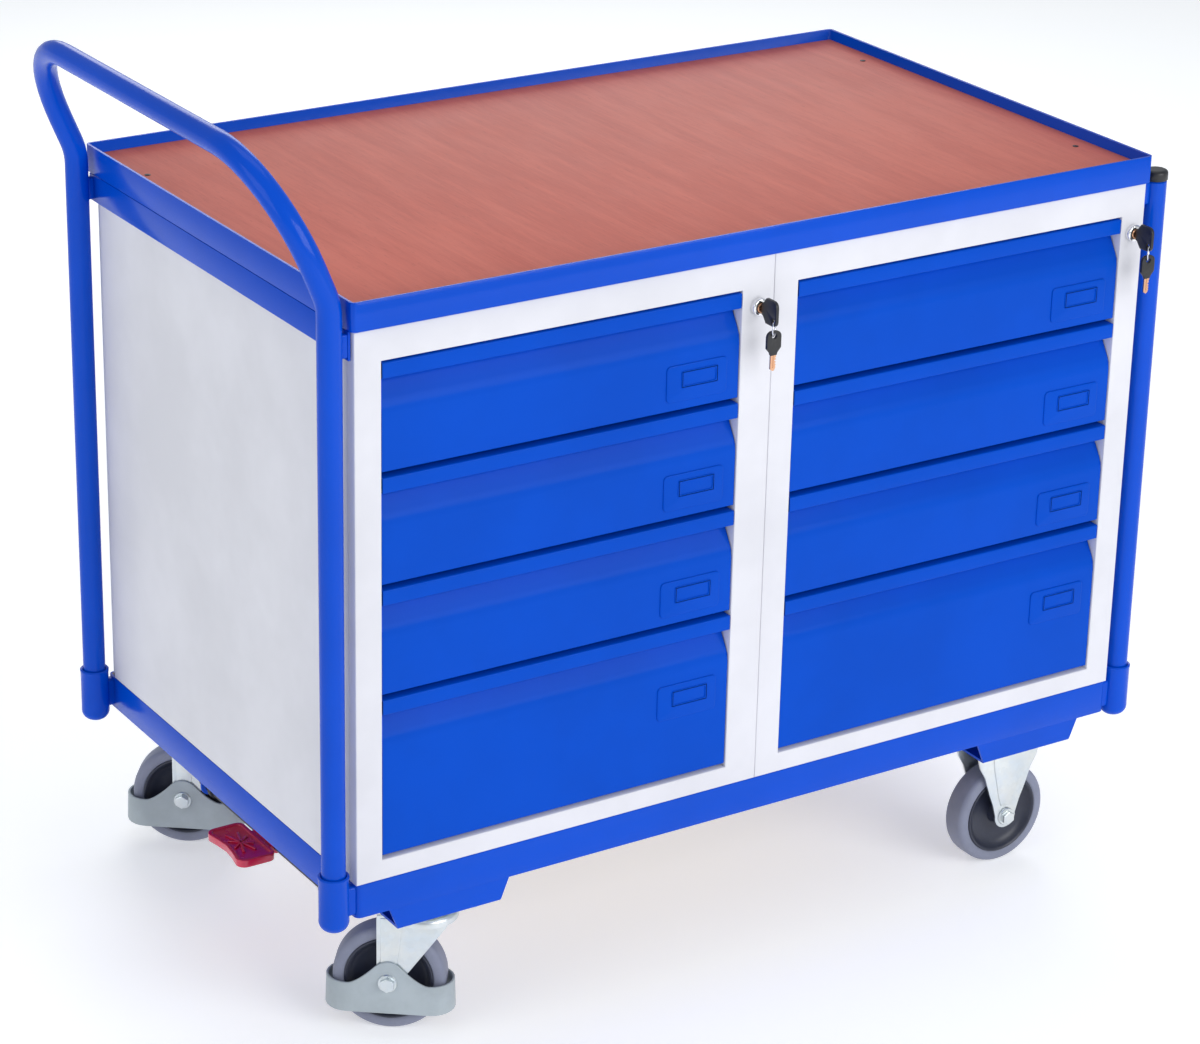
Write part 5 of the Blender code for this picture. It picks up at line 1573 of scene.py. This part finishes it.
    def ring_form(self) -> Form:
        """The split ring: a round wire through both bows, turned to the corner."""
        radius, wire = 8 * MM, 0.75 * MM
        profile = arc((radius, 0), wire, 0, 315, 7)
        form = Form.line("ring", [Vector((u, 0, v)) for u, v in profile + [profile[0]]])
        bpy.ops.mesh.select_all(action="SELECT")
        bpy.ops.mesh.spin(steps=40, angle=2 * math.pi, center=(0, 0, 0), axis=(0, 0, 1))
        form.repair()
        form.done()
        form.obj.rotation_euler = Euler((math.radians(90), 0, math.radians(45)))
        bpy.ops.object.transform_apply(rotation=True)
        return form.place(self.pivot + Vector((0, 0, -radius))).smooth(60)

    def spare_bow_form(self) -> Form:
        """The bow of the spare key, hanging with its neck down."""
        form = self._bow("spare_bow", self.spare.size.x, 27 * MM, self.spare.size.y)
        form.edit()
        bpy.ops.mesh.select_all(action="SELECT")
        bpy.ops.transform.resize(value=(1, 1, -1), center_override=(0, 0, 0))
        bpy.ops.mesh.normals_make_consistent(inside=False)
        neck = self.spare.high.z - 27 * MM
        form.place((self.pivot.x, self.pivot.y, neck))
        hole_z = self.pivot.z - 16 * MM
        hole = Form.disc("spare_hole", (self.pivot.x, self.pivot.y - 6 * MM, hole_z), 3.3 * MM, Axis.Y, 20)
        hole.faces(lambda middle, normal: True).extrude((0, 12 * MM, 0))
        return form.cut(hole.repair()).round_off(0.4 * MM, 2, 35).smooth(45)

    def spare_blade_form(self) -> Form:
        """The blade of the spare key."""
        neck = self.spare.high.z - 27 * MM
        form = self._blade("spare_blade", neck - self.spare.low.z)
        return form.place((self.pivot.x, self.pivot.y, neck)).smooth(30)


# ------------------------------------------------------------------ casters


@dataclass
class Wheel:
    """A wheel on a plain hub: a rounded grey tread round a dished dark hub."""

    radius: float = 62.5 * MM
    width: float = 32 * MM
    tread_inner: float = 49 * MM
    steps: int = 72

    def tread_form(self) -> Form:
        """The tread about Y at the origin, with rounded shoulders."""
        half, r, inner = self.width / 2, self.radius, self.tread_inner
        round_to = 7 * MM
        profile = [(inner, -half + 1.5 * MM), (inner + 1 * MM, -half + 0.6 * MM), (inner + 2.5 * MM, -half)]
        profile += [(r - round_to - 1.5 * MM, -half)]
        profile += arc_to(r, -half, round_to)
        profile += [(r, 0)]
        mirrored = [(u, -v) for u, v in reversed(profile[:-1])]
        profile = profile + mirrored + [profile[0]]
        return Form.turned("tread", profile, (0, 0, 0), Axis.Y, self.steps).smooth(35)

    def hub_form(self) -> Form:
        """The hub about Y at the origin: a rim lip, a concave dish, a boss and a bore."""
        half, inner = self.width / 2, self.tread_inner
        boss = 19 * MM
        outer = [
            (6.1 * MM, boss),
            (10 * MM, boss),
            (11.5 * MM, boss - 1 * MM),
            (12.5 * MM, boss - 5 * MM),
            (15 * MM, 6.5 * MM),
            (22 * MM, 5.5 * MM),
            (31 * MM, 5.8 * MM),
            (38 * MM, 7.5 * MM),
            (42.5 * MM, 10.5 * MM),
            (45 * MM, 14 * MM),
            (46.2 * MM, half - 0.3 * MM),
            (47.5 * MM, half + 0.2 * MM),
            (inner - 0.2 * MM, half - 0.3 * MM),
            (inner - 0.1 * MM, half - 2 * MM),
        ]
        profile = outer + [(u, -v) for u, v in reversed(outer)] + [outer[0]]
        return Form.turned("hub", profile, (0, 0, 0), Axis.Y, self.steps).smooth(35)


def arc_to(radius: float, side: float, rounding: float) -> list[tuple[float, float]]:
    """A wheel's shoulder: an arc from its side face out to its tread."""
    centre = (radius - rounding, side + rounding)
    return [(u, v) for u, v in arc(centre, rounding, -90, 0, 6)]


@dataclass
class Caster:
    """One caster: forks, bolt and wheel, and on a swivel its race, crown and foot guard."""

    node: str
    swivels: bool
    trail: float = 38 * MM
    fork_half: float = 19.5 * MM
    sheet: float = 3 * MM
    guard_length: float = 142 * MM
    guard_wall: float = 3 * MM
    guard_levels: tuple[float, float, float] = (25 * MM, 60 * MM, 88 * MM)

    def __post_init__(self) -> None:
        """Reads the caster's place and heading."""
        spin = joint(f"{self.node}_spin")
        self.axle = Vector(spin["pos_m"])
        way = Vector(spin["axis"])
        self.heading = math.atan2(-way.x, way.y)
        back = Vector((math.cos(self.heading), math.sin(self.heading), 0))
        self.pivot = self.axle + back * (self.trail if self.swivels else 0)
        self.pivot.z = 0
        head = Box.of(f"{self.node}_head" if self.swivels else f"{self.node}_fork")
        self.plate = Box(Vector((head.low.x, head.low.y, head.high.z - 4 * MM)), head.high)
        self.wheel_body = f"{self.node}_wheel_body"
        self.body = self.node if self.swivels else "frame"

    def build(
        self, like: Optional["Caster"] = None, forms: Optional[dict[str, Form]] = None
    ) -> dict[str, Form]:
        """Models the caster, or copies another's forms, and dresses it.

        Args:
            like: A caster of the same kind that is already modelled.
            forms: That caster's forms by name.

        Returns:
            This caster's forms by name.
        """
        if like is None or forms is None:
            forms = self.swivel_forms() if self.swivels else self.fixed_forms()
        else:
            offset = self.pivot - like.pivot
            forms = {name: form.copy(name, offset) for name, form in forms.items()}
        for name, form in forms.items():
            form.obj.name = f"{self.node}_{name}_form"
        n = self.node
        dress(forms["tread"], Finish.TREAD, self.wheel_body, [f"{n}_wheel"])
        dress(forms["hub"], Finish.HUB, self.wheel_body)
        dress(forms["fork"], Finish.ZINC, self.body, [f"{n}_fork"])
        dress(forms["bolt"], Finish.ZINC, self.body, [f"{n}_axle"])
        if self.swivels:
            dress(forms["head"], Finish.ZINC, "frame", [f"{n}_head"])
            dress(forms["guard"], Finish.GUARD, self.body, [f"{n}_foot_guard"])
        else:
            dress(forms["head"], Finish.ZINC, "frame")
        return forms

    def wheel_forms(self, x: float) -> dict[str, Form]:
        """The tread and the hub, in the caster's own frame."""
        wheel = Wheel()
        place = (x, 0, self.axle.z)
        return {"tread": wheel.tread_form().place(place), "hub": wheel.hub_form().place(place)}

    def swivel_forms(self) -> dict[str, Form]:
        """Every form of a swivel caster."""
        forms = self.wheel_forms(-self.trail)
        forms["fork"] = self.fork_form()
        forms["guard"] = self.guard_form()
        half = self.fork_half + self.sheet + self.guard_wall + 0.6 * MM
        forms["bolt"] = self.bolt_form(-self.trail, half)
        for form in forms.values():
            form.place((self.pivot.x, self.pivot.y, 0), self.heading)
        forms["head"] = self.head_form()
        return forms

    def fixed_forms(self) -> dict[str, Form]:
        """Every form of a fixed caster."""
        forms = self.wheel_forms(0.0)
        forms["fork"] = self.fixed_fork_form()
        forms["bolt"] = self.bolt_form(0.0, self.fork_half + self.sheet + 1.2 * MM)
        for form in forms.values():
            form.place((self.pivot.x, self.pivot.y, 0))
        forms["head"] = self.head_form()
        return forms

    def head_form(self) -> Form:
        """The top plate with its four bolts, and on a swivel the ball race under it."""
        low, high = self.plate.low, self.plate.high
        thickness = 4 * MM if self.swivels else 3 * MM
        form = Form.block("head_plate", (low.x, low.y, high.z - thickness), high)
        form.along(Axis.Z).bevel(9 * MM, 4)
        form.round_off(0.5 * MM, 2).smooth()
        middle = self.plate.centre
        parts = []
        for side in Side:
            for depth in (-1, 1):
                level = high.z - thickness + 0.5 * MM
                place = (middle.x + side.value * 41 * MM, middle.y + depth * 32 * MM, level)
                parts.append(self._nut(place, Axis.Z, 6.5 * MM, -5.5 * MM))
        if self.swivels:
            top = high.z - thickness + 0.3 * MM
            profile = [(0, top), (38 * MM, top), (38.5 * MM, top - 2 * MM), (37 * MM, top - 4.5 * MM)]
            profile += [(34 * MM, top - 7 * MM), (31 * MM, top - 9 * MM), (0, top - 9 * MM)]
            parts.append(Form.turned("race", profile, (middle.x, middle.y, 0), Axis.Z, 48).smooth(50))
        return form.join(parts)

    @staticmethod
    def _nut(place: Point, axis: Axis, radius: float, height: float) -> Form:
        """A hexagon with a chamfered end, drawn out along an axis."""
        form = Form.disc("nut", place, radius, axis, 6)
        form.faces(lambda middle, normal: True).extrude(axis.along * height).repair()
        far = Vector(place) + axis.along * height
        form.faces(lambda middle, normal: (middle - far).length < MM / 10)
        form.inset(radius * 0.12).move(axis.along * math.copysign(0.5 * MM, height))
        return form.round_off(0.25 * MM, 2, 25).smooth(30)

    def bolt_form(self, x: float, half: float) -> Form:
        """The axle bolt: a shank with a washer and a hexagon at each end."""
        z = self.axle.z
        shank = Form.turned(
            "bolt", [(0, -half), (5.9 * MM, -half), (5.9 * MM, half), (0, half)], (x, 0, z), Axis.Y, 24
        ).smooth(35)
        parts = []
        for side in (-1, 1):
            rim = side * (half + 0.2 * MM)
            face = side * (half + 1.6 * MM)
            profile = [(0, side * (half - MM)), (10.6 * MM, side * (half - MM))]
            profile += [(11 * MM, rim), (10.2 * MM, face), (0, face)]
            parts.append(Form.turned("washer", profile, (x, 0, z), Axis.Y, 32).smooth(35))
            parts.append(self._nut((x, face - side * 0.3 * MM, z), Axis.Y, 8.6 * MM, side * 5.2 * MM))
        return shank.join(parts)

    def _leg(self, name: str, shape: Sequence[Point], rib: Sequence[Point]) -> Form:
        """One side of a fork: a plate with a pressed rib on its outer face, at -Y."""
        outer = -(self.fork_half + self.sheet)
        plate = Form.line(name, xz(shape, outer), closed=True)
        plate.extrude((0, self.sheet, 0)).repair()
        plate.round_off(0.7 * MM, 2, 50).smooth(35)
        press = Form.line("rib", xz(rib, outer + 0.6 * MM), closed=True)
        press.extrude((0, -1.5 * MM, 0)).repair()
        press.facing(Axis.Y, -1).inset(0.9 * MM).move((0, -0.4 * MM, 0))
        press.round_off(0.6 * MM, 2, 40).smooth(50)
        return plate.join([press])

    def fork_form(self) -> Form:
        """The swivel fork: a domed crown with two legs that sweep back to the axle."""
        top = self.plate.low.z - 9.3 * MM
        crown_low = top - 4 * MM
        foot, x, z = 12.5 * MM, -self.trail, self.axle.z
        shape = [(x - 12 * MM, crown_low + MM), (24 * MM, crown_low + MM), (27 * MM, crown_low - 8 * MM)]
        shape += arc((x, z), foot, -8, -180, 12)
        shape += [(x - foot, crown_low - 6 * MM)]
        rib = [(x - 8 * MM, crown_low - 2 * MM), (x + 17 * MM, crown_low - 2 * MM)]
        rib += [(x + 11 * MM, z + 26 * MM)]
        rib += [(x + 7 * MM, z + 15 * MM), (x - 5 * MM, z + 15 * MM), (x - 8 * MM, z + 24 * MM)]
        leg = self._leg("fork", shape, rib)
        leg.join([leg.mirrored("fork_leg", Axis.Y, 0.0)])
        profile = [(0, top), (33 * MM, top), (35.5 * MM, top - 1.2 * MM), (36.5 * MM, top - 4 * MM)]
        profile += [(36.8 * MM, top - 9 * MM), (35.0 * MM, top - 9 * MM), (34.2 * MM, top - 5 * MM)]
        profile += [(32.5 * MM, top - 3.4 * MM), (0, top - 3.2 * MM)]
        crown = Form.turned("crown", profile, (0, 0, 0), Axis.Z, 56).smooth(45)
        return leg.join([crown])

    def fixed_fork_form(self) -> Form:
        """The fixed fork: two ribbed plates that narrow to the axle."""
        top = self.plate.high.z - 2 * MM
        half, foot, z = 45 * MM, 15 * MM, self.axle.z
        edge = [(half, top), (half, top - 12 * MM), (half - 3 * MM, top - 24 * MM)]
        edge += [(half - 11 * MM, top - 38 * MM), (26 * MM, z + 34 * MM), (19.5 * MM, z + 18 * MM)]
        shape = edge + arc((0, z), foot, 8, -188, 14) + [(-u, v) for u, v in reversed(edge)]
        half_rib = [(24 * MM, top - 3 * MM), (22 * MM, top - 26 * MM)]
        half_rib += [(12 * MM, z + 26 * MM), (8 * MM, z + 15 * MM)]
        rib = half_rib + [(-u, v) for u, v in reversed(half_rib)]
        leg = self._leg("fixed_fork", shape, rib)
        return leg.join([leg.mirrored("fixed_leg", Axis.Y, 0.0)])

    def guard_form(self) -> Form:
        """The oval foot guard: a wall round the wheel that rises over the bolt on each side."""
        half_width = self.fork_half + self.sheet + 0.3 * MM + self.guard_wall
        reach = self.guard_length / 2 - half_width
        low, edge, hump = self.guard_levels
        steps = 26
        straight = [(-reach + 2 * reach * step / steps, -half_width) for step in range(steps + 1)]
        end = arc((reach, 0), half_width, -90, 90, 12)[1:-1]
        ring = straight + end + [(-u, -v) for u, v in straight] + [(-u, -v) for u, v in end]
        x = -self.trail
        form = Form.line("guard", xy(ring + ring[:1], low))
        form.repair()
        bpy.ops.mesh.select_all(action="SELECT")
        form.extrude_edges((0, 0, edge - low))
        for step in range(steps + 1):
            u = -reach + 2 * reach * step / steps
            rise = self._hump(abs(u)) * (hump - edge)
            if rise > 0.05 * MM:
                form.points(
                    lambda co, u=u: abs(co.x - u) < 0.05 * MM
                    and abs(abs(co.y) - half_width) < 0.05 * MM
                    and co.z > edge - MM
                )
                form.move((0, 0, rise))
        form.points(lambda co: co.z < low + MM)
        bpy.ops.transform.resize(value=(1.015, 1.05, 1), center_override=(0, 0, low))
        self._outwards(form)
        form.thicken(self.guard_wall).round_off(1.1 * MM, 3, 45).smooth(50)
        return form.place((x, 0, 0))

    @staticmethod
    def _hump(u: float) -> float:
        """How high the guard's side stands at a distance from the bolt, from 0 to 1."""
        full, foot = 13 * MM, 44 * MM
        if u >= foot:
            return 0.0
        if u <= full:
            return math.cos(u / full * 0.62)
        share = (u - full) / (foot - full)
        start = math.cos(0.62)
        return start * (1 - share) ** 1.45

    @staticmethod
    def _outwards(form: Form) -> None:
        """Makes the guard's wall look outwards."""
        form.edit()
        bpy.ops.mesh.select_all(action="SELECT")
        bpy.ops.mesh.normals_make_consistent(inside=False)
        mesh = bmesh.from_edit_mesh(form.obj.data)
        mesh.normal_update()
        if sum(face.normal.y * face.calc_center_median().y for face in mesh.faces) < 0:
            bpy.ops.mesh.flip_normals()


# ------------------------------------------------------------------ brake


@dataclass
class Brake:
    """The brake's shaft and its ribbed foot pedal."""

    thickness: float = 9 * MM
    length: float = 46 * MM
    shaft: Box = field(default_factory=lambda: Box.of("brake_shaft"))
    pedal: Box = field(default_factory=lambda: Box.of("brake_pedal"))

    def build(self) -> None:
        """Models and dresses the brake."""
        dress(self.shaft_form(), Finish.SHAFT, "brake", ["brake_shaft"])
        dress(self.pedal_form(), Finish.RED, "brake", ["brake_pedal"])

    def shaft_form(self) -> Form:
        """The shaft, chamfered at its ends, with a collar inside each hanger."""
        x, z = self.shaft.centre.x, self.shaft.centre.z
        low, high = self.shaft.low.y, self.shaft.high.y
        r, collar = 6 * MM, 8.5 * MM
        profile = [(0, low), (r - MM, low), (r, low + MM)]
        for near in (low + 26 * MM, high - 34 * MM):
            profile += [(r, near), (collar, near + 0.6 * MM), (collar, near + 7.4 * MM), (r, near + 8 * MM)]
        profile += [(r, high - MM), (r - MM, high), (0, high)]
        return Form.turned("brake_rod", profile, (x, 0, z), Axis.Y, 32).smooth(35)

    def pedal_form(self) -> Form:
        """The pedal: a waisted plate with a raised border and crossed ribs, on a round hub."""
        z = self.shaft.centre.z
        low, high = self.pedal.low, self.pedal.high
        centre = Vector((low.x + self.length / 2, self.pedal.centre.y, z))
        half_l, half_w, waist = self.length / 2, (high.y - low.y) / 2, 5 * MM
        shape = arc((half_l - 9 * MM, half_w - 9 * MM), 9 * MM, 0, 90, 5)
        shape += arc((-half_l + 11 * MM, half_w - 11 * MM), 11 * MM, 90, 180, 6)
        shape += [(-half_l + waist * 0.55, half_w * 0.42), (-half_l + waist, 0)]
        shape += [(-half_l + waist * 0.55, -half_w * 0.42)]
        shape += arc((-half_l + 11 * MM, -half_w + 11 * MM), 11 * MM, 180, 270, 6)
        shape += arc((half_l - 9 * MM, -half_w + 9 * MM), 9 * MM, 270, 360, 5)
        places = [(centre.x + u, centre.y + v) for u, v in shape]
        form = Form.line("pedal", xy(places, z - self.thickness / 2), closed=True)
        form.extrude((0, 0, self.thickness)).repair()
        form.facing(Axis.Z).inset(4.5 * MM).extrude((0, 0, -1.4 * MM))
        form.round_off(1.6 * MM, 3, 50).smooth(50)
        ribs = [self._rib(centre, turn, z + self.thickness / 2 - 1.6 * MM) for turn in (-52, -18, 18, 52)]
        hub_y = (centre.y - 22 * MM, centre.y + 22 * MM)
        x = self.shaft.centre.x
        profile = [(0, hub_y[0]), (9 * MM, hub_y[0]), (10 * MM, hub_y[0] + MM), (10 * MM, hub_y[1] - MM)]
        profile += [(9 * MM, hub_y[1]), (0, hub_y[1])]
        hub = Form.turned("pedal_hub", profile, (x, 0, z), Axis.Y, 32).smooth(40)
        neck = Form.block(
            "pedal_neck",
            (centre.x + half_l - 6 * MM, hub_y[0] + MM, z - self.thickness / 2 + 1.5 * MM),
            (x, hub_y[1] - MM, z + self.thickness / 2 - 1.5 * MM),
        )
        neck.round_off(1.2 * MM, 2).smooth()
        return form.join([*ribs, hub, neck])

    @staticmethod
    def _rib(centre: Vector, turn: float, z: float) -> Form:
        """A low rounded rib across the pedal, turned in degrees from its length."""
        angle = math.radians(90 - turn)
        along = Vector((math.cos(angle), math.sin(angle), 0))
        across = Vector((-along.y, along.x, 0))
        length, half = (15 if abs(turn) > 30 else 24) * MM, 1.5 * MM
        middle = Vector((centre.x, centre.y, z))
        ends = ((-1, -1), (1, -1), (1, 1), (-1, 1))
        corners = [middle + along * a * length + across * b * half for a, b in ends]
        rib = Form.line("pedal_rib", corners, closed=True)
        rib.extrude((0, 0, 1.9 * MM)).repair()
        return rib.round_off(0.7 * MM, 2, 40).smooth(60)


# ------------------------------------------------------------------ stage


@dataclass
class Studio:
    """A pale floor, soft lights and the camera."""

    camera_place: tuple[float, float, float] = (-2.1160, -3.2505, 2.0558)
    yaw: float = math.radians(-31.940)
    pitch: float = math.radians(22.221)
    roll: float = math.radians(0.928)
    lens: float = 108.68
    shift: tuple[float, float] = (0.0442, -0.0323)

    def build(self) -> None:
        """Sets the stage round the bench."""
        self.middle = Vector((*Box.of("tray_frame").centre.xy, 0))
        bpy.context.scene.view_settings.view_transform = "Standard"
        self.floor()
        self.world()
        self.lights()
        self.camera()

    def floor(self) -> None:
        """A wide pale floor."""
        deselect_all()
        bpy.ops.mesh.primitive_plane_add(size=60, location=(0, 0, -0.2 * MM))
        floor = bpy.context.object
        floor.name = "studio_floor"
        nodes = Nodes("studio_floor_paint")
        nodes.set(
            Base_Color=(0.90, 0.90, 0.905, 1),
            Roughness=0.6,
            Emission_Color=(1.0, 1.0, 1.0, 1),
            Emission_Strength=0.36,
        )
        floor.data.materials.append(nodes.material)

    def world(self) -> None:
        """An even pale sky for fill."""
        world = bpy.data.worlds.new("studio")
        bpy.context.scene.world = world
        world.use_nodes = True
        background = next(n for n in world.node_tree.nodes if n.type == "BACKGROUND")
        background.inputs["Color"].default_value = (0.88, 0.94, 1.0, 1)
        background.inputs["Strength"].default_value = 0.50

    def lights(self) -> None:
        """A large key light above the front, a softer one from the left and one behind."""
        for name, place, size, energy in (
            ("key", (0.9, -3.8, 2.0), (3.0, 2.0), 80),
            ("left", (-3.6, -0.6, 1.8), (2.2, 2.2), 24),
            ("top", (0.2, 0.4, 3.8), (2.4, 1.6), 14),
            ("rear", (1.6, 3.2, 2.2), (2.4, 1.6), 30),
        ):
            data = bpy.data.lights.new(name, "AREA")
            data.shape = "RECTANGLE"
            data.size, data.size_y = size
            data.energy = energy
            lamp = bpy.data.objects.new(name, data)
            bpy.context.scene.collection.objects.link(lamp)
            lamp.location = self.middle + Vector(place)
            aim = self.middle + Vector((0, 0, 0.5)) - lamp.location
            lamp.rotation_euler = aim.to_track_quat("-Z", "Y").to_euler()

    def camera(self) -> None:
        """The camera, from the front left and above."""
        data = bpy.data.cameras.new("camera")
        data.sensor_width = 36
        data.lens = self.lens
        data.shift_x, data.shift_y = self.shift
        data.clip_start, data.clip_end = 0.05, 200
        camera = bpy.data.objects.new("camera", data)
        bpy.context.scene.collection.objects.link(camera)
        side = Vector((math.cos(self.yaw), math.sin(self.yaw), 0))
        ahead = Vector((-math.sin(self.yaw), math.cos(self.yaw), 0))
        forward = ahead * math.cos(self.pitch) - Vector((0, 0, math.sin(self.pitch)))
        lift = ahead * math.sin(self.pitch) + Vector((0, 0, math.cos(self.pitch)))
        right = side * math.cos(self.roll) + lift * math.sin(self.roll)
        up = lift * math.cos(self.roll) - side * math.sin(self.roll)
        turn = Matrix((right, up, -forward)).transposed()
        camera.matrix_world = Matrix.Translation(self.middle + Vector(self.camera_place)) @ turn.to_4x4()
        bpy.context.scene.camera = camera


def main() -> None:
    """Builds every sub-assembly in order, then the stage."""
    logging.basicConfig(level=logging.INFO, format="%(name)s: %(message)s")
    Tray().build()
    TubeFrame().build()
    BaseFrame().build()
    for side in Side:
        Cabinet(side).build()
        shallow = [Drawer(side.word, number) for number in (1, 2, 3)]
        shallow[0].build(shallow[1:])
        Drawer(side.word, 4).build()
    first_lock = Lock("left")
    forms = first_lock.build()
    Lock("right").build(first_lock, forms)
    for kind, swivels in (("swivel", True), ("fixed", False)):
        first = Caster(f"{kind}_front", swivels)
        forms = first.build()
        Caster(f"{kind}_rear", swivels).build(first, forms)
    Brake().build()
    Studio().build()
    deselect_all()


if __name__ == "__main__":
    main()
